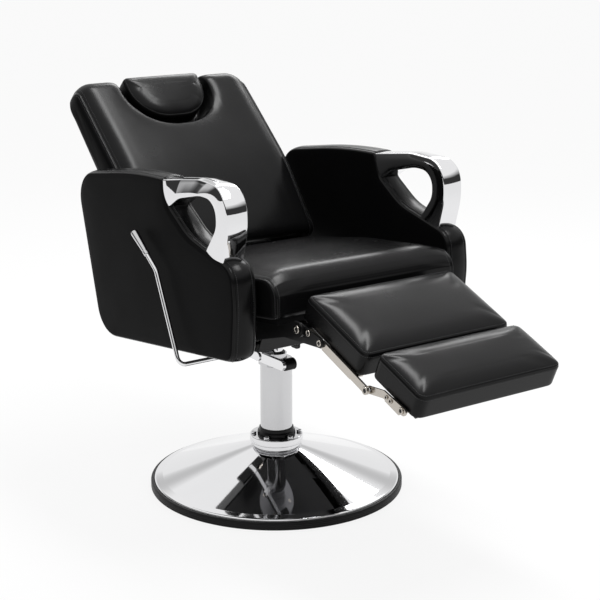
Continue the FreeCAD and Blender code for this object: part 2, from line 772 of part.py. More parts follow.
def mount_plate_bolts():
    """Bolts that join the hub and the mount plate."""
    bolts = []
    for x, y in bolt_places(MOUNT_BOLT_CIRCLE, MOUNT_BOLTS, MOUNT_BOLT_TURN):
        shank = rod_z(MOUNT_BOLT_RADIUS, MOUNT_BOTTOM - HUB_FLANGE, MOUNT_TOP, x, y)
        head = rod_z(MOUNT_BOLT_HEAD_RADIUS, MOUNT_TOP, MOUNT_TOP + MOUNT_BOLT_HEAD, x, y)
        bolts.append(shank.fuse(head))
    return Part.makeCompound(bolts)


def bush_hole(x_from, x_to):
    """Cutter for a lever bush."""
    return rod_x(LEVER_AXIS, LEVER_BUSH_RADIUS + SEAT_GAP, x_from, x_to)


def lever_tab(x_from, x_to):
    """Tab that hangs below the frame round the lever's axis."""
    half = LEVER_TAB / 2.0
    y = (LEVER_Y - half, LEVER_Y + half)
    lower = slab(LEVEL, x_from, x_to, y, (LEVER_Z - half, MOUNT_BOTTOM + half), LEVER_TAB_ROUND)
    return lower.common(block((x_from, x_to), y, (LEVER_Z - half, MOUNT_BOTTOM)))


def seat_mount_plate():
    """Plate between the side plates, with a hanger for the lever's inner bush."""
    sides = (-SIDE_PLATE_X, SIDE_PLATE_X)
    base = block(sides, (MOUNT_FRONT, MOUNT_REAR), (MOUNT_BOTTOM, MOUNT_TOP))
    hanger_to = INNER_HANGER_X + SIDE_PLATE
    hanger = lever_tab(INNER_HANGER_X, hanger_to)
    hole = bush_hole(INNER_HANGER_X, hanger_to)
    return through_mount(base.fuse(hanger).cut(hole))


def front_apron():
    """Bent sheet in front of the mechanism, slotted for the release finger."""
    top_y = SIDE_PLATE_FRONT
    fold_y = SIDE_PLATE_FRONT + APRON_RAKE
    sheet_top = MOUNT_BOTTOM + APRON_SHEET
    corners = [
        (MOUNT_FRONT, MOUNT_BOTTOM, 0.0),
        (fold_y, MOUNT_BOTTOM, APRON_SHEET),
        (top_y, APRON_TOP, 0.0),
        (top_y + APRON_SHEET, APRON_TOP, 0.0),
        (fold_y + APRON_SHEET, sheet_top, APRON_SHEET),
        (MOUNT_FRONT, sheet_top, 0.0),
    ]
    apron = plate(corners, -APRON_HALF_WIDTH, APRON_HALF_WIDTH)
    reach = FINGER_WIDTH + LEVER_RADIUS
    slot_y = (LEVER_Y - 2 * reach, MOUNT_FRONT)
    return apron.cut(block((-reach, reach), slot_y, (MOUNT_BOTTOM, sheet_top)))


def rear_tie_bar():
    """Bar across the rear edge of the mount plate."""
    sides = (-SIDE_PLATE_X, SIDE_PLATE_X)
    return block(sides, (MOUNT_REAR - TIE_BAR_WIDTH, MOUNT_REAR), (MOUNT_TOP, MOUNT_TOP + TIE_BAR_HEIGHT))


def side_plate(with_tab):
    """Pressed plate below one side of the seat, with an ear for each pivot."""
    ear = EAR_RADIUS
    ear_round = EAR_RADIUS * EAR_ROUND_SHARE
    board_front = SEAT.at(SEAT_BOARD_FRONT, -BOARD)
    board_rear = SEAT.at(SEAT_BOARD_REAR, -BOARD)
    corners = [
        (LEGREST_Y - ear, LEGREST_Z - ear, ear_round),
        (LEGREST_Y - ear, LEGREST_Z + ear, ear_round),
        (LEGREST_Y + ear, LEGREST_Z + ear, ear / 2),
        (board_front[0], board_front[1], ear / 2),
        (board_rear[0], board_rear[1], 0.0),
        (RECLINE_Y - ear, board_rear[1], ear),
        (RECLINE_Y - ear, RECLINE_Z + ear, ear_round),
        (RECLINE_Y + ear, RECLINE_Z + ear, ear_round),
        (RECLINE_Y + ear, MOUNT_TOP + SIDE_PLATE_HEEL, SIDE_PLATE_HEEL),
        (MOUNT_REAR + ear, MOUNT_BOTTOM, ear),
        (SIDE_PLATE_FRONT + ear, MOUNT_BOTTOM, ear),
        (SIDE_PLATE_FRONT - ear, APRON_TOP, SIDE_PLATE_HEEL),
        (LEGREST_Y + SIDE_PLATE_HEEL, LEGREST_Z - EAR_DROP, SIDE_PLATE_HEEL),
    ]
    outer = SIDE_PLATE_X + SIDE_PLATE
    sheet = plate(corners, SIDE_PLATE_X, outer)
    sheet = sheet.cut(rod_x(RECLINE, RECLINE_TUBE + RUNNING_FIT, SIDE_PLATE_X, outer))
    sheet = sheet.cut(rod_x(LEG_PIVOT, LEGREST_TUBE + RUNNING_FIT, SIDE_PLATE_X, outer))
    if with_tab:
        sheet = sheet.fuse(lever_tab(SIDE_PLATE_X, outer)).cut(bush_hole(SIDE_PLATE_X, outer))
    return sheet.removeSplitter()


def seat_board():
    """Plywood board below the seat cushion."""
    half = SEAT_BOARD_HALF_WIDTH
    return slab(SEAT, -half, half, (SEAT_BOARD_FRONT, SEAT_BOARD_REAR), (-BOARD, 0.0))


def seat_section(swell):
    """Seat from the side: flat below, crowned on top, round at the knees."""
    drawn = SEAT_DRAW * swell
    crown = SEAT_CROWN * swell
    middle = (SEAT_FRONT + SEAT_REAR) / 2.0
    return [
        (SEAT_FRONT + SEAT_FRONT_RAKE + drawn, -PAD_SINK, SEAT_FOOT_ROUND),
        (SEAT_REAR + SEAT_REAR_RAKE, -PAD_SINK, SEAT_FOOT_ROUND),
        (SEAT_REAR, SEAT_EDGE_HEIGHT - SEAT_REAR_DROP, SEAT_REAR_ROUND),
        (middle, SEAT_EDGE_HEIGHT + SEAT_REAR_DROP + crown, SEAT_CROWN_RADIUS),
        (SEAT_FRONT + drawn, SEAT_EDGE_HEIGHT, SEAT_NOSE),
    ]


def seat_cushion():
    """Crowned seat cushion with a round front edge."""
    return flat_pad(SEAT, seat_section, SEAT_HALF_WIDTH, SEAT_ROUND, SOFT_GAP)


def arm_shape():
    """Left arm's padded side panel, whole."""
    middle = (ARM_INNER_X + ARM_OUTER_X) / 2.0
    half = (ARM_OUTER_X - ARM_INNER_X) / 2.0
    return pad(LEVEL, lambda swell: ARM_OUTLINE, half, ARM_ROUND, middle)


def core_shape():
    """Left arm's plywood core, whole."""
    inner = ARM_INNER_X + CORE_DEPTH
    return plate(inset(ARM_OUTLINE, CORE_INSET), inner, inner + CORE)


def arm_bolt_places():
    """Y and Z of the bolts that hold one arm."""
    z = (BRACKET_TOP + BRACKET_BOTTOM) / 2.0
    half = ARM_BOLT_PITCH / 2.0
    return [(y + side * half, z) for y in BRACKET_STATIONS for side in (-1, 1)]


def arm_bolt(centre, radius, head_radius):
    """One bolt along X from the bracket into the core."""
    inner = ARM_INNER_X - SOFT_GAP - BRACKET_SHEET
    shank = rod_x(centre, radius, inner, ARM_INNER_X + CORE_DEPTH + CORE)
    return shank.fuse(rod_x(centre, head_radius, inner - ARM_BOLT_HEAD, inner))


def through_arm(shape):
    """Shape with the arm bolts' holes."""
    radius = ARM_BOLT_RADIUS + SEAT_GAP
    inner = ARM_INNER_X - SOFT_GAP - BRACKET_SHEET
    deep = ARM_INNER_X + CORE_DEPTH + CORE
    holes = [rod_x(place, radius, inner, deep) for place in arm_bolt_places()]
    return shape.cut(Part.makeCompound(holes))


def arm_pad():
    """Left arm's side panel, hollow round its core."""
    return through_arm(arm_shape().cut(core_shape()))


def arm_bracket(y):
    """Steel bracket from the side plate to the left arm."""
    inner = SIDE_PLATE_X + SIDE_PLATE
    outer = ARM_INNER_X - SOFT_GAP
    reach = (y - BRACKET_WIDTH / 2.0, y + BRACKET_WIDTH / 2.0)
    upright = (BRACKET_BOTTOM, BRACKET_TOP)
    web = block((inner, outer), reach, (BRACKET_BOTTOM, BRACKET_BOTTOM + BRACKET_SHEET))
    near = block((inner, inner + BRACKET_SHEET), reach, upright)
    far = block((outer - BRACKET_SHEET, outer), reach, upright)
    return through_arm(web.fuse(near).fuse(far))


def arm_brackets():
    """Two brackets on each side."""
    left = [arm_bracket(y) for y in BRACKET_STATIONS]
    return Part.makeCompound(left + [mirrored(shape) for shape in left])


def arm_bolts():
    """Bolts of both arms."""
    left = [arm_bolt(place, ARM_BOLT_RADIUS, ARM_BOLT_HEAD_RADIUS) for place in arm_bolt_places()]
    return Part.makeCompound(left + [mirrored(shape) for shape in left])


def chrome_arm():
    """Left arm's cast chrome loop, cut to seat on the padded panel."""
    inner = ARM_INNER_X + CHROME_INSET_INNER
    outer = ARM_OUTER_X - CHROME_INSET_OUTER
    loop = plate(CHROME_OUTLINE, inner, outer)
    rims = [edge for edge in loop.Edges if edge.BoundBox.XLength < SEAT_GAP]
    return loop.makeFillet(CHROME_ROUND, rims).cut(arm_shape())


def lever_bushes():
    """Two bushes that the release lever turns in."""
    half = LEVER_BUSH_LENGTH / 2.0
    middles = (-(SIDE_PLATE_X + SIDE_PLATE / 2.0), INNER_HANGER_X + SIDE_PLATE / 2.0)
    bore = LEVER_RADIUS + RUNNING_FIT
    return Part.makeCompound(
        [ring_x(LEVER_AXIS, LEVER_BUSH_RADIUS, bore, x - half, x + half) for x in middles]
    )


def gas_spring_cylinder():
    """Body of the locking gas spring, bored for its rod and its valve tappet."""
    body = rod_y(0.0, GAS_ROD_Z, GAS_CYLINDER_RADIUS, GAS_CYLINDER_FRONT, GAS_CYLINDER_REAR)
    rod_bore = rod_y(0.0, GAS_ROD_Z, GAS_ROD_RADIUS + RUNNING_FIT, GAS_BORE_FRONT, GAS_CYLINDER_REAR)
    valve = rod_y(0.0, GAS_ROD_Z, TAPPET_RADIUS + RUNNING_FIT, GAS_CYLINDER_FRONT, GAS_BORE_FRONT)
    return body.cut(rod_bore).cut(valve)


def gas_spring_anchor():
    """Saddle block that holds the gas spring on the mount plate."""
    sides = (-ANCHOR_HALF_WIDTH, ANCHOR_HALF_WIDTH)
    y = (ANCHOR_FRONT, ANCHOR_FRONT + ANCHOR_LENGTH)
    top = GAS_ROD_Z + GAS_CYLINDER_RADIUS + ANCHOR_WALL
    saddle = block(sides, y, (MOUNT_TOP, top))
    return saddle.cut(rod_y(0.0, GAS_ROD_Z, GAS_CYLINDER_RADIUS + SEAT_GAP, *y))


def lever_point(offset):
    """Point of the lever's upright part from a Y, Z offset off its axis."""
    return Vector(LEVER_X, LEVER_Y + offset[0], LEVER_Z + offset[1])


def bent_rod(points, bends, radius):
    """Round rod along straight runs joined by tangent arcs."""
    edges = []
    start = points[0]
    for i, bend in enumerate(bends, 1):
        back = (points[i - 1] - points[i]).normalize()
        ahead = (points[i + 1] - points[i]).normalize()
        half = back.getAngle(ahead) / 2.0
        reach = bend / math.tan(half)
        middle = points[i] + (back + ahead).normalize() * (bend / math.sin(half) - bend)
        entry, leave = points[i] + back * reach, points[i] + ahead * reach
        edges.append(Part.LineSegment(start, entry).toShape())
        edges.append(Part.Arc(entry, middle, leave).toShape())
        start = leave
    edges.append(Part.LineSegment(start, points[-1]).toShape())
    section = Part.Wire(Part.makeCircle(radius, points[0], points[1] - points[0]))
    return Part.Wire(edges).makePipeShell([section], True, False)


def grip_axis():
    """Lower end, upper end and direction of the lever's grip."""
    lower, upper = lever_point(GRIP_BACK), lever_point(GRIP_TOP)
    return lower, upper, upper - lower


def release_lever_rod():
    """Lever: a shaft across the frame, bent up beside the arm."""
    lower, upper, _ = grip_axis()
    end = lower + (upper - lower) * GRIP_ENTRY
    points = [
        Vector(LEVER_INNER_X, LEVER_Y, LEVER_Z),
        Vector(LEVER_X, LEVER_Y, LEVER_Z),
        lever_point(LEVER_BEND),
        end,
    ]
    return bent_rod(points, (LEVER_CORNER, LEVER_BEND_RADIUS), LEVER_RADIUS)


def release_lever_grip():
    """Tapered grip on the lever's upper end."""
    lower, upper, way = grip_axis()
    grip = Part.makeCone(GRIP_RADIUS, GRIP_END_RADIUS, way.Length, lower, way)
    grip = grip.makeFillet(GRIP_ROUND, [edge for edge in grip.Edges if edge.Closed])
    depth = way.Length * GRIP_ENTRY
    return grip.cut(Part.makeCylinder(LEVER_RADIUS + SEAT_GAP, depth, lower, way))


def release_finger():
    """Finger on the lever's shaft that presses the gas spring's tappet."""
    half = FINGER_WIDTH / 2.0
    tip = (LEVER_Y, GAS_ROD_Z + TAPPET_RADIUS)
    finger = arm_bar(LEVER_AXIS, tip, FINGER_WIDTH, -half, half)
    collar = rod_x(LEVER_AXIS, LEVER_BUSH_RADIUS, -half, half)
    return finger.fuse(collar).cut(rod_x(LEVER_AXIS, LEVER_RADIUS + SEAT_GAP, -half, half))


def gas_valve_tappet():
    """Tappet that opens the gas spring's valve."""
    front = LEVER_Y + FINGER_WIDTH / 2.0 + TAPPET_GAP
    return rod_y(0.0, GAS_ROD_Z, TAPPET_RADIUS, front, GAS_CYLINDER_FRONT + TAPPET_DEPTH)


def gas_spring_rod():
    """Gas spring's rod with an eye round the pin of the back's lug."""
    eye_bore = GAS_PIN + GAS_EYE_PLAY
    eye_outer = eye_bore + GAS_EYE_WALL
    half = GAS_EYE_WIDTH / 2.0
    centre = (GAS_PIN_END[0], GAS_ROD_Z)
    rod = rod_y(0.0, GAS_ROD_Z, GAS_ROD_RADIUS, GAS_ROD_FRONT, centre[0])
    eye = rod_x(centre, eye_outer, -half, half)
    return rod.fuse(eye).cut(rod_x(centre, eye_bore, -half, half))


def back_section(swell):
    """Back from the side: flat behind, swelling to the small of the back, round on top."""
    crown = BACK_CROWN * swell
    rear = BACK_REAR - PAD_SINK
    return [
        (BACK_BOTTOM, rear, BACK_FOOT_ROUND),
        (BACK_TOE, BACK_FOOT_FRONT + crown, BACK_NOSE),
        (BACK_LUMBAR_HEIGHT, BACK_LUMBAR_FRONT + crown, BACK_LUMBAR_RADIUS),
        (BACK_TOP, BACK_HEAD_FRONT + crown, BACK_HEAD_ROUND),
        (BACK_TOP, rear, BACK_FOOT_ROUND),
    ]


def back_point(x, u, v):
    """Point of the back from its own width, height and depth."""
    return Vector(x, *BACK.at(u, v))


def back_panel_shape(outline, v_from, v_to):
    """Plate on the back: an outline of width, height, radius corners carried forwards."""
    wire = rounded_wire([(back_point(x, u, v_from), radius) for x, u, radius in outline])
    return Part.Face(wire).extrude(back_point(0, 0, v_to) - back_point(0, 0, v_from))


def notch():
    """Cutter for the headrest's notch: open at the top, round in its lower corners."""
    w = NOTCH_HALF_WIDTH
    top = HEADREST_TOP + NOTCH_BOTTOM
    outline = [
        (-w, NOTCH_BOTTOM, NOTCH_CORNER),
        (w, NOTCH_BOTTOM, NOTCH_CORNER),
        (w, top, 0.0),
        (-w, top, 0.0),
    ]
    return back_panel_shape(outline, NOTCH_BACK, 2 * BACK_LUMBAR_FRONT)


def socket_shapes(gap):
    """Socket's sleeve and foot as full blocks, grown by a gap."""
    half = POST_HALF_WIDTH + SEAT_GAP + SOCKET_WALL + gap
    rear = POST_REAR - SEAT_GAP - SOCKET_WALL
    front = POST_REAR + POST + SEAT_GAP + SOCKET_WALL
    sleeve = slab(BACK, -half, half, (SOCKET_BOTTOM - gap, SOCKET_TOP + gap), (rear - gap, front + gap))
    foot_half = SOCKET_FOOT_HALF_WIDTH + gap
    foot_along = (SOCKET_BOTTOM + SOCKET_FOOT_INSET - gap, SOCKET_TOP - SOCKET_FOOT_INSET + gap)
    foot = slab(BACK, -foot_half, foot_half, foot_along, (BACK_REAR, rear))
    return sleeve.fuse(foot)


def post_channel(gap, top):
    """Space of the headrest's post from the socket's foot up to a height."""
    half = POST_HALF_WIDTH + gap
    return slab(BACK, -half, half, (SOCKET_BOTTOM, top), (POST_REAR - gap, POST_REAR + POST + gap))


def back_cushion():
    """Back cushion with the headrest's notch and room for the socket."""
    whole = flat_pad(BACK, back_section, BACK_HALF_WIDTH, BACK_ROUND, BACK_REAR + SOFT_GAP)
    channel = post_channel(SOFT_GAP + SEAT_GAP, NOTCH_BOTTOM + NOTCH_CORNER)
    return whole.cut(notch()).cut(socket_shapes(SOFT_GAP)).cut(channel)


def hinge_strap(gap):
    """Left hinge arm's strap along the back panel, grown by a gap."""
    outer = HINGE_ARM_X + HINGE_ARM
    rear = BACK_REAR - HINGE_ARM
    along = (-HINGE_RING - gap, HINGE_STRAP_LENGTH + gap)
    return slab(BACK, outer - HINGE_STRAP_WIDTH - gap, outer + gap, along, (rear - gap, BACK_REAR))


def back_panel():
    """Rear panel of the back, let in for the hinge straps."""
    w = BACK_HALF_WIDTH - BACK_PANEL_INSET
    corner = BACK_PANEL_CORNER
    outline = [
        (-w, BACK_BOTTOM, corner),
        (w, BACK_BOTTOM, corner),
        (w, BACK_TOP - BACK_PANEL_INSET, corner),
        (-w, BACK_TOP - BACK_PANEL_INSET, corner),
    ]
    panel = back_panel_shape(outline, BACK_REAR - BACK_PANEL, BACK_REAR)
    return panel.cut(pair(hinge_strap(SEAT_GAP)))


def back_hinge_arms():
    """Two arms that carry the back on the recline tube."""
    outer = HINGE_ARM_X + HINGE_ARM
    web = slab(BACK, HINGE_ARM_X, outer, (-HINGE_RING, HINGE_RING), (BACK_REAR - HINGE_ARM, 0.0))
    ring = rod_x(RECLINE, HINGE_RING, HINGE_ARM_X, outer)
    bore = rod_x(RECLINE, RECLINE_TUBE + SEAT_GAP, HINGE_ARM_X, outer)
    return pair(hinge_strap(0.0).fuse(web).fuse(ring).cut(bore))


def crank(pivot, end):
    """Left crank plate with the stud that a drive link turns on."""
    outer = CRANK_X + CRANK_SHEET
    sheet = arm_bar(pivot, end, CRANK_WIDTH, CRANK_X, outer)
    stud = rod_x(end, CRANK_PIN, CRANK_X, outer + LINK_SHEET + 2 * SIDE_PLAY)
    return sheet.fuse(stud)


def pivot_tube(centre, radius):
    """Shaft across the frame, through both side plates."""
    end = SIDE_PLATE_X + SIDE_PLATE + TUBE_PROUD
    return rod_x(centre, radius, -end, end)


def back_crank_tube():
    """Recline shaft with two cranks and the gas spring's lug welded on."""
    lug_outer = GAS_LUG_X + GAS_LUG_SHEET
    lug = arm_bar(RECLINE, GAS_PIN_END, GAS_LUG_WIDTH, GAS_LUG_X, lug_outer)
    pin = rod_x(GAS_PIN_END, GAS_PIN, -lug_outer, lug_outer)
    cranks = crank(RECLINE, BACK_CRANK_END)
    shaft = pivot_tube(RECLINE, RECLINE_TUBE)
    return shaft.multiFuse([lug, mirrored(lug), pin, cranks, mirrored(cranks)])


def headrest_socket():
    """Steel sleeve in the back that the headrest's post slides in."""
    return socket_shapes(0.0).cut(post_channel(SEAT_GAP, SOCKET_TOP))


def headrest_outline():
    """Headrest from the front: straight on top, round in its lower corners."""
    w = HEADREST_HALF_WIDTH
    return [
        (-w, HEADREST_BOTTOM, HEADREST_CORNER),
        (w, HEADREST_BOTTOM, HEADREST_CORNER),
        (w, HEADREST_TOP, HEADREST_ROUND),
        (-w, HEADREST_TOP, HEADREST_ROUND),
    ]


def headrest_cushion():
    """Crowned headrest pillow: a loft forwards through outlines that draw in."""
    rear = HEADREST_BOARD + SOFT_GAP
    depth = HEADREST_FRONT - rear
    wires = []
    for share, drawn in HEADREST_STATIONS:
        outline = inset(headrest_outline(), drawn)
        v = rear + depth * share
        wires.append(rounded_wire([(back_point(x, u, v), radius) for x, u, radius in outline]))
    return Part.makeLoft(wires, True, False)


def headrest_board():
    """Board behind the headrest pillow."""
    return back_panel_shape(inset(headrest_outline(), HEADREST_BOARD_MARGIN), 0.0, HEADREST_BOARD)


def headrest_post():
    """Flat post below the headrest board."""
    half = POST_HALF_WIDTH
    return slab(BACK, -half, half, (POST_BOTTOM, POST_TOP), (POST_REAR, POST_REAR + POST))


def drive_links():
    """Links that carry the back's swing to the legrest, open at the front pivot."""
    inner = CRANK_X + CRANK_SHEET + SIDE_PLAY
    outer = inner + LINK_SHEET
    bar = arm_bar(BACK_CRANK_END, LEG_CRANK_END, LINK_WIDTH, inner, outer)
    rear_bore = CRANK_PIN + RUNNING_FIT
    front_bore = CRANK_PIN + LINK_PLAY
    rear_eye = rod_x(BACK_CRANK_END, rear_bore + LINK_EYE_WALL, inner, outer)
    front_eye = rod_x(LEG_CRANK_END, front_bore + LINK_EYE_WALL, inner, outer)
    link = bar.fuse(rear_eye).fuse(front_eye)
    link = link.cut(rod_x(BACK_CRANK_END, rear_bore, inner, outer))
    return pair(link.cut(rod_x(LEG_CRANK_END, front_bore, inner, outer)))


def leg_pad_section(start, end, bottom, height, crown):
    """Section function of a legrest pad: flat below, crowned on top."""
    def section(swell):
        drawn = PAD_DRAW * swell
        middle = (start + end) / 2.0
        top = bottom + height
        base = bottom - PAD_SINK
        return [
            (start + drawn, base, PAD_FOOT_ROUND),
            (end - drawn, base, PAD_FOOT_ROUND),
            (end - drawn, top, PAD_CORNER),
            (middle, top + PAD_SWELL + crown * swell, PAD_CROWN_RADIUS),
            (start + drawn, top, PAD_CORNER),
        ]
    return section


def legrest_cushion():
    """Upper legrest pad."""
    section = leg_pad_section(
        LEGREST_START, LEGREST_END, LEGREST_BOTTOM, LEGREST_EDGE_HEIGHT, LEGREST_CROWN
    )
    return flat_pad(LEG, section, LEGREST_HALF_WIDTH, PAD_ROUND, LEGREST_BOTTOM + SOFT_GAP)


def footrest_cushion():
    """Lower pad under the feet."""
    section = leg_pad_section(
        FOOTREST_START, FOOTREST_END, FOOTREST_BOTTOM, FOOTREST_EDGE_HEIGHT, FOOTREST_CROWN
    )
    return flat_pad(LEG, section, FOOTREST_HALF_WIDTH, PAD_ROUND, FOOTREST_BOTTOM + SOFT_GAP)


def pad_board(half_width, start, end, bottom):
    """Board below a legrest pad."""
    half = half_width - PAD_BOARD_INSET
    return slab(LEG, -half, half, (start, end - PAD_BOARD_INSET), (bottom - PAD_BOARD, bottom))


def legrest_board():
    """Board of the upper pad."""
    return pad_board(LEGREST_HALF_WIDTH, LEG_BOARD_START, LEGREST_END, LEGREST_BOTTOM)


def footrest_board():
    """Board of the lower pad."""
    start = FOOTREST_START + PAD_BOARD_INSET
    return pad_board(FOOTREST_HALF_WIDTH, start, FOOTREST_END, FOOTREST_BOTTOM)


def riveted(shape):
    """Shape with the legrest rivets' holes."""
    radius = RIVET_RADIUS + SEAT_GAP
    holes = [rod_x(LEG.at(*place), radius, BAR_INNER_X, ARM_PLATE_OUTER_X) for place in RIVETS]
    return shape.cut(Part.makeCompound(holes))


def legrest_arms():
    """Black arms from the legrest shaft to the bars."""
    inner, outer = BAR_OUTER_X, ARM_PLATE_OUTER_X
    arm = arm_bar(LEG_PIVOT, LEG.at(*RIVETS[-1]), ARM_WIDTH, inner, outer)
    return pair(riveted(arm.cut(rod_x(LEG_PIVOT, LEGREST_TUBE + SEAT_GAP, inner, outer))))


def legrest_bars():
    """Bright bars from the arms to the fold pivot, with a flange below the board."""
    board_bottom = LEGREST_BOTTOM - PAD_BOARD
    bar = arm_bar(LEG.at(*RIVETS[0]), FOLD_CENTRE, BAR_WIDTH, BAR_INNER_X, BAR_OUTER_X)
    along = (BAR_FLANGE_START, LEGREST_END - PAD_BOARD_INSET)
    across = (board_bottom - BAR_FLANGE_SHEET, board_bottom)
    flange = slab(LEG, BAR_OUTER_X - BAR_FLANGE, BAR_OUTER_X, along, across)
    hole = rod_x(FOLD_CENTRE, FOLD_PIN + SEAT_GAP, BAR_INNER_X, BAR_OUTER_X)
    return pair(riveted(bar.fuse(flange).cut(hole)))


def legrest_crank_tube():
    """Legrest shaft with two cranks welded on."""
    cranks = crank(LEG_PIVOT, LEG_CRANK_END)
    return pivot_tube(LEG_PIVOT, LEGREST_TUBE).multiFuse([cranks, mirrored(cranks)])


def fold_pin():
    """Left pin that the footrest folds on, with its spacer and heads."""
    bracket_outer = FOOT_BRACKET_OUTER_X
    bracket_inner = FOOT_BRACKET_INNER_X
    head = FOLD_PIN_HEAD
    pin = rod_x(FOLD_CENTRE, FOLD_PIN, bracket_inner - SIDE_PLAY, BAR_OUTER_X)
    spacer = rod_x(FOLD_CENTRE, head, bracket_outer + SEAT_GAP, BAR_INNER_X)
    inner_head = rod_x(
        FOLD_CENTRE, head, bracket_inner - SIDE_PLAY - RIVET_HEAD, bracket_inner - SEAT_GAP
    )
    outer_head = rod_x(FOLD_CENTRE, head, BAR_OUTER_X, BAR_OUTER_X + RIVET_HEAD)
    return pin.multiFuse([spacer, inner_head, outer_head])


def legrest_rivets():
    """Rivets of the legrest's arms and the pins of the fold."""
    left = [fold_pin()]
    for place in RIVETS:
        centre = LEG.at(*place)
        shank = rod_x(centre, RIVET_RADIUS, BAR_INNER_X, ARM_PLATE_OUTER_X)
        outer = ARM_PLATE_OUTER_X + RIVET_HEAD
        left.append(shank.fuse(rod_x(centre, RIVET_HEAD_RADIUS, ARM_PLATE_OUTER_X, outer)))
    return Part.makeCompound(left + [mirrored(shape) for shape in left])


def foot_rivet_places():
    """Y and Z of the rivets between the bracket's knee and its end."""
    knee, end = FOOT_BRACKET_KNEE, FOOT_BRACKET_END
    along = [(knee[0] + s * (end[0] - knee[0]), knee[1] + s * (end[1] - knee[1])) for s in FOOT_RIVETS]
    return [LEG.at(*place) for place in along]


def footrest_brackets():
    """Cranked brackets from the fold pivot to the footrest's board."""
    inner, outer = FOOT_BRACKET_INNER_X, FOOT_BRACKET_OUTER_X
    knee, end = LEG.at(*FOOT_BRACKET_KNEE), LEG.at(*FOOT_BRACKET_END)
    lower = arm_bar(FOLD_CENTRE, knee, FOOT_BRACKET_WIDTH, inner, outer)
    upper = arm_bar(knee, end, FOOT_BRACKET_WIDTH, inner, outer)
    board_bottom = FOOTREST_BOTTOM - PAD_BOARD
    half = FOOT_BRACKET_WIDTH / 2.0
    along = (FOOT_BRACKET_KNEE[0] + half, FOOT_BRACKET_END[0] - half)
    low = board_bottom - BAR_FLANGE_SHEET
    web = slab(LEG, inner, outer, along, (low, FOOTREST_BOTTOM))
    flange = slab(LEG, outer - BAR_FLANGE, outer, along, (low, board_bottom))
    bracket = lower.multiFuse([upper, web, flange])
    bracket = bracket.cut(rod_x(FOLD_CENTRE, FOLD_PIN + RUNNING_FIT, inner, outer))
    radius = FOOT_RIVET_RADIUS + SEAT_GAP
    holes = [rod_x(centre, radius, inner, outer) for centre in foot_rivet_places()]
    return pair(bracket.cut(Part.makeCompound(holes)))


def footrest_rivets():
    """Rivet heads along the footrest's brackets."""
    inner, outer = FOOT_BRACKET_INNER_X, FOOT_BRACKET_OUTER_X
    left = []
    for centre in foot_rivet_places():
        shank = rod_x(centre, FOOT_RIVET_RADIUS, inner, outer)
        left.append(shank.fuse(rod_x(centre, FOOT_RIVET_HEAD_RADIUS, outer, outer + FOOT_RIVET_HEAD)))
    return Part.makeCompound(left + [mirrored(shape) for shape in left])


def chair_pieces():
    """Every piece of the chair by its node's name."""
    arm = arm_pad()
    loop = chrome_arm()
    return {
        "base_trim_ring": base_trim_ring(),
        "base_dish": through_flange(base_dish()),
        "base_floor_plate": base_floor_plate(),
        "flange_backing_ring": flange_backing_ring(),
        "pump_flange": pump_flange(),
        "flange_bolts": flange_bolts(),
        "pump_cylinder": pump_cylinder(),
        "pump_head": pump_head(),
        "ram_wiper_seal": ram_wiper_seal(),
        "pedal_pivot_pin": pedal_pivot_pin(),
        "ram_shaft": ram_shaft(),
        "ram_piston": ram_piston(),
        "swivel_thrust_washer": swivel_thrust_washer(),
        "pump_pedal": pump_pedal(),
        "pedal_toe_roller": pedal_toe_roller(),
        "pedal_foot_pad": pedal_foot_pad(),
        "swivel_hub": swivel_hub(),
        "seat_mount_plate": seat_mount_plate(),
        "mount_plate_bolts": mount_plate_bolts(),
        "front_apron": front_apron(),
        "rear_tie_bar": rear_tie_bar(),
        "side_plate_left": side_plate(with_tab=False),
        "side_plate_right": mirrored(side_plate(with_tab=True)),
        "seat_board": seat_board(),
        "seat_cushion": seat_cushion(),
        "arm_pad_left": arm,
        "arm_pad_right": mirrored(arm),
        "arm_cores": pair(through_arm(core_shape())),
        "arm_brackets": arm_brackets(),
        "arm_bolts": arm_bolts(),
        "chrome_arm_left": loop,
        "chrome_arm_right": mirrored(loop),
        "lever_bushes": lever_bushes(),
        "gas_spring_cylinder": gas_spring_cylinder(),
        "gas_spring_anchor": gas_spring_anchor(),
        "release_lever_rod": release_lever_rod(),
        "release_lever_grip": release_lever_grip(),
        "release_finger": release_finger(),
        "gas_valve_tappet": gas_valve_tappet(),
        "gas_spring_rod": gas_spring_rod(),
        "back_cushion": back_cushion(),
        "back_panel": back_panel(),
        "back_hinge_arms": back_hinge_arms(),
        "back_crank_tube": back_crank_tube(),
        "headrest_socket": headrest_socket(),
        "headrest_cushion": headrest_cushion(),
        "headrest_board": headrest_board(),
        "headrest_post": headrest_post(),
        "drive_links": drive_links(),
        "legrest_cushion": legrest_cushion(),
        "legrest_board": legrest_board(),
        "legrest_arms": legrest_arms(),
        "legrest_bars": legrest_bars(),
        "legrest_crank_tube": legrest_crank_tube(),
        "legrest_rivets": legrest_rivets(),
        "footrest_cushion": footrest_cushion(),
        "footrest_board": footrest_board(),
        "footrest_brackets": footrest_brackets(),
        "footrest_rivets": footrest_rivets(),
    }


os.makedirs("parts", exist_ok=True)
for name, shape in chair_pieces().items():
    shape.exportStep(f"parts/{name}.step")
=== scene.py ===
"""Barber chair: sewn covers, chrome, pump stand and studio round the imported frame."""
import json
import math

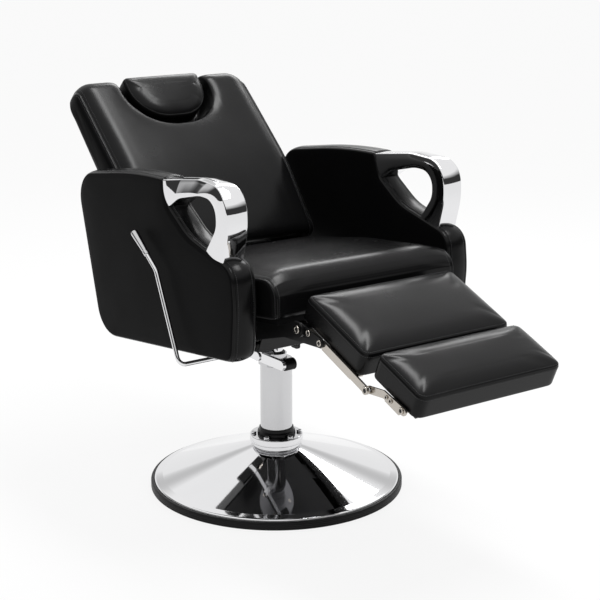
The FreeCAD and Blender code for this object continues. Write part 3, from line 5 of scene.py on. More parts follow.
import bmesh
import bpy
import numpy as np
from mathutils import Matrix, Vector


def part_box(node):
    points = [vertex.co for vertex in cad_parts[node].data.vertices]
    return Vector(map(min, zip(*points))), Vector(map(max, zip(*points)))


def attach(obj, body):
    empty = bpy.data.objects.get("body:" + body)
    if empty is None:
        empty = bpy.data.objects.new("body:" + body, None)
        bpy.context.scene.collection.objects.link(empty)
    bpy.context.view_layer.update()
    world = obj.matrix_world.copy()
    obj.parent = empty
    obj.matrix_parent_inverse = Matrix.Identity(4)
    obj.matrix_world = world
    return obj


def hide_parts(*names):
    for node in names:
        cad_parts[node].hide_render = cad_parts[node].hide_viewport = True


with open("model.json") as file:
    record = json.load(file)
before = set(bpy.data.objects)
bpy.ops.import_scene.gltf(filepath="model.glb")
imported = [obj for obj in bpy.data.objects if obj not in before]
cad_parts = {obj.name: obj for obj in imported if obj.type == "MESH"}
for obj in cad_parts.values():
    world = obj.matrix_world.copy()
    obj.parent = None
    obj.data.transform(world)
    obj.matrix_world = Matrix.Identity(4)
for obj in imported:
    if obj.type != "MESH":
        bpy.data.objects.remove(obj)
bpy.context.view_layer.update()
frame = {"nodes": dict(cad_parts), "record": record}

bl_info = {
    "name": "Barber chair",
    "version": (1, 0, 0),
    "blender": (4, 5, 0),
    "location": "3D View > Sidebar > Chair",
    "description": "Covers, chrome, stand and studio of a reclining barber chair",
    "category": "Object",
}

MM = 0.001
ARC_STEPS = 14

# Cloth simulation of the covers: its frames and pressure, the cap on a point's shift in metres, and how
# often the shifts are evened out.
PUFF_FRAMES = 20
PUFF_PRESSURE = 4.0
PUFF_LIMIT = 0.004
PUFF_EASE = 12

# Slopes of the padded pieces, as (Y, Z) origin and two directions in the chair's side view.
SEAT_TILT = math.radians(6.8)
SEAT_ORIGIN = np.array([0.0, 475.0]) * MM
SEAT_ALONG = np.array([math.cos(SEAT_TILT), -math.sin(SEAT_TILT)])
SEAT_UP = np.array([math.sin(SEAT_TILT), math.cos(SEAT_TILT)])
BACK_TILT = math.radians(46)
BACK_ORIGIN = np.array([190.0, 520.0]) * MM
BACK_ALONG = np.array([math.cos(BACK_TILT), math.sin(BACK_TILT)])
BACK_UP = np.array([-math.sin(BACK_TILT), math.cos(BACK_TILT)])
LEG_TILT = math.radians(22.5)
LEG_ORIGIN = np.array([-382.0, 503.0]) * MM
LEG_ALONG = np.array([-math.cos(LEG_TILT), -math.sin(LEG_TILT)])
LEG_UP = np.array([-math.sin(LEG_TILT), math.cos(LEG_TILT)])

# Outlines below are corners in mm: two coordinates and the corner's radius.
# Seat: the section at its seams and at its middle, half its width, its rounded edge, the roll of its top,
# and the height under which its cover is held.
SEAT_SEAM = ((-346, 0.4, 14), (141, 0.4, 14), (139, 84, 12), (-112, 88, 900), (-354, 84, 40))
SEAT_TOP = ((-346, 0.4, 14), (141, 0.4, 14), (139, 93, 12), (-112, 104, 900), (-357, 97, 48))
SEAT_HALF = 247.0
SEAT_EDGE = 9.0
SEAT_ROLL = 55.0
SEAT_HELD = 50.0

# Back: the same, then the round of its top corners and where that starts and ends along the back, and how
# far it narrows towards the rear, from which depth to which, and by what power.
BACK_SEAM = ((24, -24.6, 12), (4, 41, 24), (215, 67, 500), (513, 49, 36), (513, -24.6, 12))
BACK_TOP = ((24, -24.6, 12), (4, 50, 24), (215, 82, 500), (514, 61, 40), (514, -24.6, 12))
BACK_HALF = 247.0
BACK_EDGE = 14.0
BACK_ROLL = 40.0
BACK_HELD = -10.0
BACK_CORNER = 52.0
BACK_CORNER_RUN = (360.0, 520.0)
BACK_TAPER = 26.0
BACK_TAPER_RUN = (4.0, -25.0)
BACK_TAPER_POWER = 1.6

# Rows across the back lie closer over the notch's rim: places across, and the rows from one to the next.
# Points along its front lie closer there too: the side's number, the share along it, the width and the gain.
BACK_ROWS = (180.0, 132.0, 100.0, 0.0)
BACK_ROW_COUNTS = (9, 17, 18)
BACK_FOCUS = (1, 0.77, 0.09, 2.5)

# Shell behind the back: its plan, and the inset and height of each row round it.
SHELL_PLAN = ((14, -216, 18), (500, -216, 46), (500, 216, 46), (14, 216, 18))
SHELL_DRAWN = (4.0, 1.2, 0.0, 0.0, 1.2, 4.0)
SHELL_HEIGHTS = (-40.2, -39.0, -36.0, -29.0, -26.0, -24.8)

# Notch for the headrest: half its width, its lowest point along the back, the round of its foot, its floor,
# the soft rim's drop and roll, the width of its wall and how far that starts outside the outline, the share
# let in from which the cover is held, and how many points before the top's corner the floor's even spacing
# starts.
NOTCH_HALF = 122.0
NOTCH_LOW = 360.0
NOTCH_ROUND = 108.0
NOTCH_FLOOR = -8.0
NOTCH_RIM = 9.0
NOTCH_RIM_ROLL = 30.0
NOTCH_WALL = 12.0
NOTCH_WALL_START = 5.0
NOTCH_HELD = 0.02
NOTCH_LEAD = 6

# Pads: plan, lowest and highest face, roll and rise of the crowned top, and the round of the foot.
HEADREST_PLAN = ((-107, 381, 90), (107, 381, 90), (107, 508, 11), (-107, 508, 11))
HEADREST_SPAN = (9.4, 70.0)
HEADREST_ROLL = 34.0
HEADREST_RISE = 14.0
HEADREST_FOOT = 6.0
LEGREST_PLAN = ((-195, -24, 16), (195, -24, 16), (195, 187, 16), (-195, 187, 16))
LEGREST_SPAN = (10.4, 75.0)
LEGREST_ROLL = 46.0
FOOTREST_PLAN = ((-187, 207, 18), (187, 207, 18), (187, 355, 18), (-187, 355, 18))
FOOTREST_SPAN = (30.4, 93.0)
FOOTREST_ROLL = 38.0
LEG_PAD_RISE = 13.0
LEG_PAD_FOOT = 5.0

# Side panels: outline in the side view, inner and outer face across X, the rounded edge, the band's rows in
# from that edge, its crown, the swell of the outer and inner faces, and the rows beside those that get the
# less shiny leather as painted shade.
ARM_PLAN = ((-33, 776, 6), (90, 774, 1400), (360, 733, 66), (259, 362, 74), (-296, 427, 32),
            (-306, 545, 200), (-297, 625, 44), (-130, 668, 150), (-55, 719, 3))
ARM_SPAN = (259.5, 321.0)
ARM_EDGE = 8.0
ARM_BAND_STEPS = (1.0, 2.4, 4.2, 7.0, 10.4, 14.0, 18.0, 22.0)
ARM_BAND_CROWN = 4.0
ARM_DOMES = (2.5, 1.5)
ARM_SHADED_ROWS = 3

# Chrome loops: outer and inner rail in the side view, both faces across X, and the shares of the length
# where their tops start to lean, lean fully, start to come back and stand upright.
LOOP_OUTER = ((-21, 772, 0), (-160, 791, 150), (-275, 786, 58), (-281, 700, 160), (-258, 615, 0))
LOOP_INNER = ((-34, 704, 0), (-92, 740, 80), (-175, 759, 110), (-235, 757, 38), (-237, 700, 45),
              (-192, 640, 0))
LOOP_SPAN = (265.0, 318.0)
LOOP_LEAN_RUN = (0.06, 0.16, 0.42, 0.62)

# Stand: sections as radius and height. The rubber ring has inner and outer radius, foot and top, and the
# heights and the depth of its grooves.
DISH = ((290.4, 8.2, 0.4), (291.8, 8.2, 0.4), (291.8, 23, 5), (271.9, 27, 12), (60, 96, 4), (39, 96, 0.4),
        (39, 94.6, 0.4), (59.6, 94.6, 3), (271.3, 25.6, 12), (290.4, 21.6, 4))
FOOT_RING = (292.2, 300.0, 0.2, 19.0)
FOOT_RING_GROOVES = (5.0, 9.5, 14.0)
GROOVE = 1.1
FLANGE = ((38.1, 96.2, 0.3), (57, 96.2, 0.8), (57, 107, 0.8), (63.5, 107, 1.5), (63.5, 124, 2.5),
          (38.1, 124, 0.3))
# The collar is black steel, a painted dark reflection in place of the chrome collar.
COLLAR = ((38.2, 124.2, 0.3), (45.5, 124.2, 0.8), (44.5, 132, 2), (41.2, 134, 1), (40.8, 141.5, 1),
          (38.2, 141.5, 0.3))
COLUMN_RADIUS = 38.0
COLUMN_SPAN = (8.2, 298.0)
RAM_RADIUS = 16.0
RAM_TOP = 384.0
SHAFT_EDGE = 1.2
SHAFT_STEP = 12.0

# Bolts on the flange in mm: their circle, the face that they sit on, and the heads' sizes.
BOLT_COUNT = 6
BOLT_CIRCLE = 54.5
BOLT_FACE = 123.8
BOLT_RING = (6.6, 3.6, 5.8)
BOLT_SOCKET = (3.7, 3.6)

# Release lever in mm: (Y, Z) in an upright plane at LEVER_X, its inner end across X, both bends, the height
# where the two halves of its path join and the one that the lower half is drawn to before it is cut there, a
# direction that the path never takes, the points round it, and the grip's radii at shares of its length.
LEVER_X = -345.0
LEVER_INNER_X = 9.0
LEVER_FOOT = (-128.0, 386.0)
LEVER_KNEE = (-41.0, 579.0)
LEVER_TOP = (2.0, 612.0)
LEVER_BENDS = (16.0, 22.0)
LEVER_JOIN = 420.0
LEVER_LOW_END = 500.0
LEVER_RADIUS = 5.0
LEVER_ASIDE = (0.0, -0.85, 0.52)
LEVER_SIDES = 24
GRIP_ENDS = ((-6.0, 606.0), (50.0, 648.0))
GRIP_SHARES = (0, 0.01, 0.03, 0.1, 0.16, 0.17, 0.19, 0.5, 0.9, 0.96, 0.985, 1.0)
GRIP_RADII = (5.6, 6.6, 6.9, 7.0, 7.1, 6.2, 6.4, 7.6, 8.9, 8.6, 7.4, 5.5)

# Rivets of the leg linkage in mm: along and up the leg's slope, the face across X, and the radius. Those on
# the footrest's bar are at shares of its length. A ring's hole and the core in it are shares of the radius.
LEGREST_RIVETS = ((0, 0, 217.1, 8.5), (26, 7.6, 207.6, 7.0), (65, 9.7, 207.6, 7.0))
FOOTREST_PIN = (222.4, 6.7, 203.1, 8.5)
FOOTREST_BAR = ((264.0, 27.0), (326.0, 31.0))
FOOTREST_BAR_FACE = 195.1
FOOTREST_BAR_RIVETS = ((0.16, 4.5), (0.38, 5.0), (0.92, 7.0))
RIVET_RING_HOLE = 0.55
RIVET_RING_HEIGHT = 2.6
RIVET_CORE = 0.6
RIVET_CORE_HEIGHT = 2.2

# Small heads in metres: how far they and their shanks reach under the face, the shank's share of the radius,
# the shares of the height where a dome starts and that its top swells by, a washer's edge as a share of its
# smaller side, how near to the corner that edge comes as a share of it, and the points round each.
HEAD_SUNK = 0.0005
SHANK_SUNK = 0.002
SHANK_SHARE = 0.6
DOME_START = 0.5
DOME_SWELL = 0.02
WASHER_EDGE = 0.3
WASHER_NEAR = 0.3
HEAD_POINTS = 20
WASHER_POINTS = 24

# Points of one side of each outline, of the loops' rails, of both halves of the lever, the least gap between
# its points in metres, and points round the shafts.
SEAT_POINTS = 52
BACK_POINTS = 64
SHELL_POINTS = 40
HEADREST_POINTS = 40
LEG_PAD_POINTS = 44
ARM_POINTS = 64
LOOP_POINTS = 150
LEVER_POINTS = (80, 60)
LEVER_GAP = 0.0004
SHAFT_POINTS = 96

# Roll of a cover from its seam to its flat top: distances from the seam in mm, the width of the roll that
# they are for, and the angle on an ellipse where it starts.
ROLL_STEPS = (0, 1.5, 3, 5.5, 9, 13, 18, 24, 31, 39, 47, 55)
ROLL_WIDTH = 55.0
ROLL_START = math.radians(24)

# Rows of a cover: points in a rounded edge and in the round of a pad's foot, the boxing's rows as shares of
# its height, the least radius of a corner that is drawn in, as a share of the inset and in metres more, and
# in metres the least gap between rows, how far in from the seam a point still counts as held, and the swell
# of end faces and of a pad's top.
EDGE_STEPS = 9
FOOT_STEPS = 5
BOXING_SHARES = (0.15, 0.3, 0.45, 0.6, 0.75, 0.88, 0.95)
CORNER_EASE = 0.35
CORNER_LEAST = 0.003
ROW_GAP = 0.001
HELD_MARGIN = 0.0005
END_DOME = 0.002
PAD_DOME = 0.001

# Stitches: rows from the seam to them, on a crowned top and on a band, the points of the seat's and the
# back's section between which they show, the rows that keep the shinier leather beside a side given painted
# shade, points of one stitch, its length over the pitch, over the thread's radius how far it lies sunk and
# how far its ends dip, and how blunt those ends are.
SEWN_ROWS = 3
SEWN_BAND = 2
SEAT_SEWN = (108, 208)
BACK_SEWN = (44, 182)
BRIGHT_ROWS = 2
STITCH_RINGS = 5
STITCH_SIDES = 6
STITCH_SHARE = 0.7
STITCH_SINK = 0.3
STITCH_DIP = 1.2
STITCH_BLUNT = 0.04
STITCH_TIP = 0.05

# Studio in metres: the floor's reach, lamps as size, place and target, the camera and the way it looks over
# the floor, the floor's own tone, and the white that camera and mirrors see in the floor and the backdrop.
# The backdrop's sides, its top and the ceiling's edge are soft, so each has a start and an end.
FLOOR_REACH = 60.0
KEY_LAMP = ((0.6, 2.4), (0.6, -0.2, 3.1), (0.6, -0.19, 0.6))
SIDE_LAMP = ((1.8, 0.8), (1.9, 1.8, 2.3), (0, -0.3, 0.6))
CAMERA_PLACE = (-1.9912, -2.8234, 1.3625)
CAMERA_TURN = (math.radians(75.204), 0, math.radians(-36.124))
CAMERA_SENSOR = 36
VIEW_WAY = (0.59, 0.81)
FLOOR_TONE = 0.8
FLOOR_GLOW = 0.86
BACKDROP_WHITE = 0.95
BACKDROP_SIDES = (0.4, 0.65)
BACKDROP_TOP = (0.30, 0.45)
CEILING_EDGE = (0.30, 0.52)
ROOM_LEVEL = 0.04


def unit(vectors):
    """Each vector over its own length."""
    return vectors / np.maximum(np.linalg.norm(vectors, axis=-1, keepdims=True), 1e-12)


def rounded_line(corners, closed=True):
    """Points of straight runs joined by arcs: every corner gives an arc of its radius about a centre
    on the bisector, radius over the sine of half the corner's angle away from the corner."""
    corners = np.asarray(corners, float)
    point = corners[:, :2]
    radius = corners[:, 2].copy()
    if not closed:
        radius[[0, -1]] = 0.0
    back = unit(np.roll(point, 1, axis=0) - point)
    ahead = unit(np.roll(point, -1, axis=0) - point)
    half = np.arccos(np.clip(np.sum(back * ahead, axis=1), -1, 1)) / 2
    centre = point + unit(back + ahead) * (radius / np.sin(half))[:, None]
    reach = (radius / np.tan(half))[:, None]
    first = point + back * reach - centre
    last = point + ahead * reach - centre
    start = np.arctan2(first[:, 1], first[:, 0])
    turn = np.arctan2(last[:, 1], last[:, 0]) - start
    turn = (turn + np.pi) % (2 * np.pi) - np.pi
    angle = start[:, None] + turn[:, None] * np.linspace(0, 1, ARC_STEPS)
    arc = np.stack([np.cos(angle), np.sin(angle)], axis=-1) * radius[:, None, None]
    return (centre[:, None, :] + arc).reshape(-1, 2)


def lengths(line):
    """Distance along a line at each of its points."""
    return np.concatenate([[0.0], np.cumsum(np.linalg.norm(np.diff(line, axis=0), axis=1))])


def read_at(line, reach, at):
    """Points of a line at the given distances along it."""
    return np.stack([np.interp(at, reach, line[:, k]) for k in range(line.shape[1])], axis=-1)


def even_shares(count, focus=None):
    """Shares from 0 to 1 without the end, packed closer round the focus (share, width, gain)."""
    share = np.linspace(0, 1, 400)
    dense = np.ones_like(share)
    if focus is not None:
        dense += focus[2] * np.exp(-((share - focus[0]) / focus[1]) ** 2)
    reach = np.concatenate([[0.0], np.cumsum((dense[1:] + dense[:-1]) / 2)])
    return np.interp(np.arange(count) / count, reach / reach[-1], share)


def loop_points(corners, side, stops, focus=None):
    """Closed rounded outline as four sides of equal point counts, from the middle of one stop's arc to
    the next. focus is (side number, share, width, gain) for a side whose points bunch."""
    line = rounded_line(corners)
    line = np.vstack([line, line[:1]])
    reach = lengths(line)
    marks = reach[np.asarray(stops) * ARC_STEPS + ARC_STEPS // 2]
    marks = np.append(marks, marks[0] + reach[-1])
    at = []
    for k in range(4):
        bunch = focus[1:] if focus is not None and focus[0] == k else None
        at.append(marks[k] + (marks[k + 1] - marks[k]) * even_shares(side, bunch))
    return read_at(line, reach, np.concatenate(at) % reach[-1])


def path_points(corners, count):
    """Open rounded path at even steps."""
    line = rounded_line(corners, closed=False)
    reach = lengths(line)
    return read_at(line, reach, np.linspace(0, reach[-1], count))


def outward(loops):
    """Unit normals in the plane of closed loops, pointing out of them."""
    along = unit(np.roll(loops, -1, axis=-2) - np.roll(loops, 1, axis=-2))
    ahead = np.roll(loops, -1, axis=-2)
    area = np.sum(loops[..., 0] * ahead[..., 1] - ahead[..., 0] * loops[..., 1], axis=-1)
    side = np.stack([along[..., 1], -along[..., 0]], axis=-1)
    return side * np.sign(area)[..., None, None]


def on_slope(x, along, across, origin, first, second):
    """Points x, along, across of a slope in the chair's frame; along runs in first, across in second."""
    x, along, across = np.broadcast_arrays(x, along, across)
    y = origin[0] + along * first[0] + across * second[0]
    z = origin[1] + along * first[1] + across * second[1]
    return np.stack([x, y, z], axis=-1)


def roll_share(inward, width):
    """Share of its full height that a cover has at a distance in from its seam: part of an ellipse that
    leaves the seam steeply and ends level."""
    angle = np.linspace(ROLL_START, np.pi / 2, 60)
    run = (np.cos(ROLL_START) - np.cos(angle)) / np.cos(ROLL_START) * width
    rise = (np.sin(angle) - np.sin(ROLL_START)) / (1 - np.sin(ROLL_START))
    return np.interp(inward, run, rise)


def cap_shares(cells):
    """Square grid that fills a loop: how far out each point is, and where on the loop it looks."""
    axis = np.linspace(-1, 1, cells + 1)
    a, b = np.meshgrid(axis, axis, indexing="ij")
    far = np.maximum(np.abs(a), np.abs(b))
    scale = np.where(far == 0, 1.0, far)
    sa = a / scale
    sb = b / scale
    edge = 1 - 1e-9
    place = np.select([sb <= -edge, sa >= edge, sb >= edge],
                      [(sa + 1) / 2, (sb + 3) / 2, (5 - sa) / 2], (7 - sb) / 2)
    return far, place * cells


def quads(index):
    """Four-cornered faces of a grid of point numbers."""
    corners = [index[:-1, :-1], index[1:, :-1], index[1:, 1:], index[:-1, 1:]]
    return np.stack(corners, axis=-1).reshape(-1, 4)


def add_piece(name, points, faces, body, slot, stands_for=(), finish=None):
    """Mesh object at the origin that rides a body, takes its slot's finish or another, and stands for CAD
    nodes."""
    mesh = bpy.data.meshes.new(name)
    mesh.from_pydata(points.tolist(), [], faces)
    shell = bmesh.new()
    shell.from_mesh(mesh)
    bmesh.ops.recalc_face_normals(shell, faces=shell.faces)
    shell.to_mesh(mesh)
    shell.free()
    mesh.shade_smooth()
    mesh.materials.append(material_of(finish or slot))
    piece = bpy.data.objects.new(name, mesh)
    bpy.context.scene.collection.objects.link(piece)
    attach(piece, body)
    if stands_for:
        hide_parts(*stands_for)
    return piece


def tube(rows, lifts=((0, 0, 0), (0, 0, 0))):
    """Closed shell of a grid of rows round a tube: point = rows[share along, share round], and both ends
    filled by a square grid drawn in to the end's middle, raised by a lift times a dome that falls to
    nothing at the ends of the loop's two axes."""
    count, around = rows.shape[:2]
    cells = around // 4
    far, place = cap_shares(cells)
    number = np.arange(count * around).reshape(count, around)
    faces = [quads(np.hstack([number, number[:, :1]]))]
    points = [rows.reshape(-1, 3)]
    free = count * around
    for row, lift in ((0, lifts[0]), (count - 1, lifts[1])):
        rim = rows[row]
        middle = rim.mean(axis=0)
        look = read_at(np.vstack([rim, rim[:1]]), np.arange(around + 1), place)
        axes = np.linalg.svd(rim - middle, full_matrices=False)[2][:2]
        span = np.abs((rim - middle) @ axes.T).max(axis=0)
        flat = far[..., None] * (look - middle)
        dome = np.prod(np.clip(1 - (flat @ axes.T / span) ** 2, 0, 1), axis=-1)
        cap = middle + flat + dome[..., None] * np.asarray(lift, float)
        index = row * around + np.rint(place).astype(int) % around
        index[1:-1, 1:-1] = free + np.arange((cells - 1) ** 2).reshape(cells - 1, cells - 1)
        points.append(cap[1:-1, 1:-1].reshape(-1, 3))
        faces.append(quads(index))
        free += (cells - 1) ** 2
    return np.concatenate(points), np.concatenate(faces).tolist()


def ring(rows):
    """Closed shell of a grid that joins up both ways: point = rows[share round profile, share round
    axis]."""
    number = np.arange(rows.shape[0] * rows.shape[1]).reshape(rows.shape[:2])
    number = np.vstack([number, number[:1]])
    return rows.reshape(-1, 3), quads(np.hstack([number, number[:, :1]])).tolist()


def turned(profile, around):
    """Profile of radius and height turned round the upright axis: radius times cosine and sine, and the
    height."""
    angle = np.linspace(0, 2 * np.pi, around, endpoint=False)
    radius = profile[:, :1]
    height = np.broadcast_to(profile[:, 1:], (len(profile), around))
    return np.stack([radius * np.cos(angle), radius * np.sin(angle), height], axis=-1)


def with_steps(line, step):
    """The line's own points and more between them, at most a step apart."""
    reach = lengths(line)
    at = np.unique(np.round(np.concatenate([reach, np.arange(0, reach[-1], step)]), 7))
    return read_at(line, reach, at)


def turned_ring(corners, step, around):
    """Closed rounded profile of corners in mm, with points at most a step apart, turned round the axis."""
    line = rounded_line(corners)
    line = with_steps(np.vstack([line, line[:1]]), step)[:-1] * MM
    return ring(turned(line, around))


def swept(path, radius):
    """Round tube on a path: path point plus radius times cosine and sine in the plane across the path."""
    along = unit(np.gradient(path, axis=0))
    first = unit(np.cross(along, LEVER_ASIDE))
    second = np.cross(along, first)
    angle = np.linspace(0, 2 * np.pi, LEVER_SIDES, endpoint=False)
    radius = np.broadcast_to(np.asarray(radius, float), (len(path),))[:, None, None]
    turn = first[:, None] * np.cos(angle)[:, None] + second[:, None] * np.sin(angle)[:, None]
    return path[:, None] + radius * turn


def read_points(mesh):
    """Vertex positions of a mesh as rows of three."""
    flat = np.empty(len(mesh.vertices) * 3, np.float32)
    mesh.vertices.foreach_get("co", flat)
    return flat.reshape(-1, 3).astype(float)


def puff(cover, held):
    """Blows a cover up from inside with its seams and its base held, keeps each point's shift under the
    cap, as cap times shift over cap plus shift, and evens the shifts out between neighbours."""
    scene = bpy.context.scene
    rest = read_points(cover.data)
    group = cover.vertex_groups.new(name="held")
    group.add(np.flatnonzero(held).tolist(), 1.0, "REPLACE")
    cloth = cover.modifiers.new("puff", "CLOTH")
    cloth.settings.vertex_group_mass = group.name
    cloth.settings.use_pressure = True
    cloth.settings.uniform_pressure_force = PUFF_PRESSURE
    cloth.settings.effector_weights.gravity = 0
    cloth.point_cache.frame_start = 1
    cloth.point_cache.frame_end = PUFF_FRAMES
    for step in range(1, PUFF_FRAMES + 1):
        scene.frame_set(step)
    solved = cover.evaluated_get(bpy.context.evaluated_depsgraph_get())
    shift = read_points(solved.data) - rest
    cover.modifiers.remove(cloth)
    cover.vertex_groups.remove(group)
    scene.frame_set(1)
    shift *= (PUFF_LIMIT / (PUFF_LIMIT + np.linalg.norm(shift, axis=1)))[:, None]
    ends = np.empty(len(cover.data.edges) * 2, np.int32)
    cover.data.edges.foreach_get("vertices", ends)
    ends = ends.reshape(-1, 2)
    near = np.bincount(ends.ravel(), minlength=len(rest))[:, None]
    for _ in range(PUFF_EASE):
        total = np.zeros_like(shift)
        np.add.at(total, ends[:, 0], shift[ends[:, 1]])
        np.add.at(total, ends[:, 1], shift[ends[:, 0]])
        shift = np.where(held[:, None], 0, (shift + total / near) / 2)
    cover.data.vertices.foreach_set("co", (rest + shift).ravel())
    cover.data.update()


def soften(piece):
    """One subdivision, the same in the viewport and the render."""
    smooth = piece.modifiers.new("soft", "SUBSURF")
    smooth.levels = 1
    smooth.render_levels = 1


def grid_normals(rows):
    """Unit normals of a grid that is closed round its rows, pointing away from its middle."""
    around = np.roll(rows, -1, axis=1) - np.roll(rows, 1, axis=1)
    normal = unit(np.cross(around, np.gradient(rows, axis=0)))
    return normal * np.sign(np.sum(normal * (rows - rows.mean(axis=(0, 1)))))


def stitch_shape(length, thick):
    """One stitch as points along, beside and above the seam: a round thread that thins towards its ends
    as the root of a little over 1 less the share squared, and dips there by the share squared."""
    size = (STITCH_RINGS, STITCH_SIDES)
    share = np.linspace(-1, 1, STITCH_RINGS)[:, None]
    angle = np.linspace(0, 2 * np.pi, STITCH_SIDES, endpoint=False)
    radius = thick * np.sqrt(np.maximum(1 + STITCH_BLUNT - share ** 2, STITCH_TIP))
    along = np.broadcast_to(share * length / 2, size)
    above = radius * np.sin(angle) - thick * STITCH_DIP * share ** 2
    points = np.stack([along, radius * np.cos(angle), above], axis=-1)
    number = np.arange(STITCH_RINGS * STITCH_SIDES).reshape(size)
    sides = quads(np.hstack([number, number[:, :1]])).tolist()
    return points.reshape(-1, 3), sides + [number[0].tolist(), number[-1].tolist()]


def place_copies(shape, faces, where, along, up):
    """Copies of a small shape set on points, with its first axis along and its third up."""
    up = unit(up - along * np.sum(up * along, axis=1, keepdims=True))
    beside = np.cross(up, along)
    axes = np.stack([along, beside, up], axis=1)
    points = where[:, None] + shape @ axes
    every = [[corner + k * len(shape) for corner in face] for k in range(len(where)) for face in faces]
    return points.reshape(-1, 3), every


def sew(name, runs, body, look):
    """Stitches along runs, each a line of points and the cover's normals there."""
    pitch = look.stitch_pitch
    shape, faces = stitch_shape(pitch * STITCH_SHARE, look.thread)
    where, along, up = [], [], []
    for line, normal in runs:
        reach = lengths(line)
        at = np.arange(pitch / 2, reach[-1], pitch)
        where.append(read_at(line, reach, at))
        along.append(read_at(unit(np.gradient(line, axis=0)), reach, at))
        up.append(read_at(normal, reach, at))
    up = unit(np.concatenate(up))
    where = np.concatenate(where) - up * look.thread * STITCH_SINK
    points, every = place_copies(shape, faces, where, unit(np.concatenate(along)), up)
    add_piece(name, points, every, body, "black_leather", finish="black_thread")


def closed_run(rows, normals, row):
    """One row of a grid, joined up, with its normals."""
    line = np.vstack([rows[row], rows[row, :1]])
    return line, np.vstack([normals[row], normals[row, :1]])


def cover_rows(cover, shape):
    """The grid part of a cover's points, as it is now."""
    count = shape[0] * shape[1]
    return read_points(cover.data)[:count].reshape(shape[0], shape[1], 3)


def sew_sides(name, cover, shape, seam, show, body, look):
    """Stitches on both sides of the two seams of a swept cover, on the points round it that show."""
    now = cover_rows(cover, shape)
    normal = grid_normals(now)
    rows = [row for k in (seam - SEWN_ROWS, seam + SEWN_ROWS) for row in (k, -1 - k)]
    sew(name, [(now[row, show], normal[row, show]) for row in rows], body, look)


def sew_round(name, cover, shape, rows, body, look):
    """Stitches all round a cover on some rows of its grid."""
    now = cover_rows(cover, shape)
    normal = grid_normals(now)
    sew(name, [closed_run(now, normal, row) for row in rows], body, look)


def make_cover(name, rows, lifts, held, body, node):
    """Padded cover of a grid of rows: blown up and softened, with its CAD node hidden."""
    points, faces = tube(rows, lifts)
    cover = add_piece(name, points, faces, body, "black_leather", (node,))
    mask = np.zeros(len(points), bool)
    mask[:held.size] = held.ravel()
    puff(cover, mask)
    soften(cover)
    return cover


def shade_ends(cover, shape, deep):
    """Gives some rows next to both ends of a cover, and its end faces, a less shiny copy of the leather, as
    painted shade on the side faces.
    """
    rows, around = shape[:2]
    row = np.arange((rows - 1) * around) // around
    ends = np.full(len(cover.data.polygons) - len(row), True)
    painted_shade = np.concatenate([(row < deep) | (row >= rows - 1 - deep), ends])
    cover.data.materials.append(material_of("shaded_side_leather"))
    cover.data.polygons.foreach_set("material_index", painted_shade.astype(np.int32))


def edge_rows(half, edge, middle):
    """Places across X and how far each row is drawn in: quarter rounds at both sides, flat between."""
    angle = np.linspace(np.pi / 2, 0, EDGE_STEPS)
    side = half - edge + edge * np.sin(angle)
    drawn = edge * (1 - np.cos(angle))
    x = np.concatenate([side, middle, -side[::-1]])
    return x, np.concatenate([drawn, np.zeros(len(middle)), drawn[::-1]])


def swept_rows(seam_loop, top_loop, half, edge, inner, width, depth):
    """Section loops across a seat or back: the seam's section at both sides, the top's between, blended
    by the roll's share, with rounded sides drawn in. Returns places across, loops and the seam's row."""
    roll = half - edge - np.array(ROLL_STEPS) / ROLL_WIDTH * width
    right = np.concatenate([roll[1:], inner[inner < roll[-1] - ROW_GAP]])
    x, drawn = edge_rows(half, edge, np.concatenate([right, -right[-2::-1]]))
    seam = EDGE_STEPS - 1
    drawn[[seam, -1 - seam]] += depth
    share = roll_share(half - edge - np.abs(x), width)[:, None, None]
    loops = seam_loop + share * (top_loop - seam_loop)
    return x, loops - outward(loops) * drawn[:, None, None], seam


def drawn_in(plan, inward):
    """Corners of a four-sided plan drawn in by a distance, their radius eased so that they stay round."""
    plan = np.asarray(plan, float)
    middle = (plan[:, :2].max(axis=0) + plan[:, :2].min(axis=0)) / 2
    corner = plan[:, :2] - np.sign(plan[:, :2] - middle) * inward
    radius = np.maximum(plan[:, 2] - inward, CORNER_EASE * inward + CORNER_LEAST)
    return np.column_stack([corner, radius])


def pad_rows(plan, span, rise, roll, foot, depth, side):
    """Flat pad on a plan: a quarter round at the foot, upright boxing to the seam, then the roll of the
    top. Returns plan points, heights and the seam's row."""
    low = np.linspace(0, np.pi / 2, FOOT_STEPS)
    top = span[1] - rise
    walls = span[0] + foot + (top - span[0] - foot) * np.array(BOXING_SHARES)
    inward = np.array(ROLL_STEPS) / ROLL_WIDTH * roll
    height = [span[0] + foot * (1 - np.cos(low)), walls, top + rise * roll_share(inward, roll)]
    height = np.concatenate(height)
    drawn = np.concatenate([foot * (1 - np.sin(low)), 0 * walls, inward])
    seam = len(low) + len(walls)
    drawn[seam] += depth
    points = np.stack([loop_points(drawn_in(plan, inset), side, (0, 1, 2, 3)) for inset in drawn])
    return points, np.broadcast_to(height[:, None], points.shape[:2]), seam


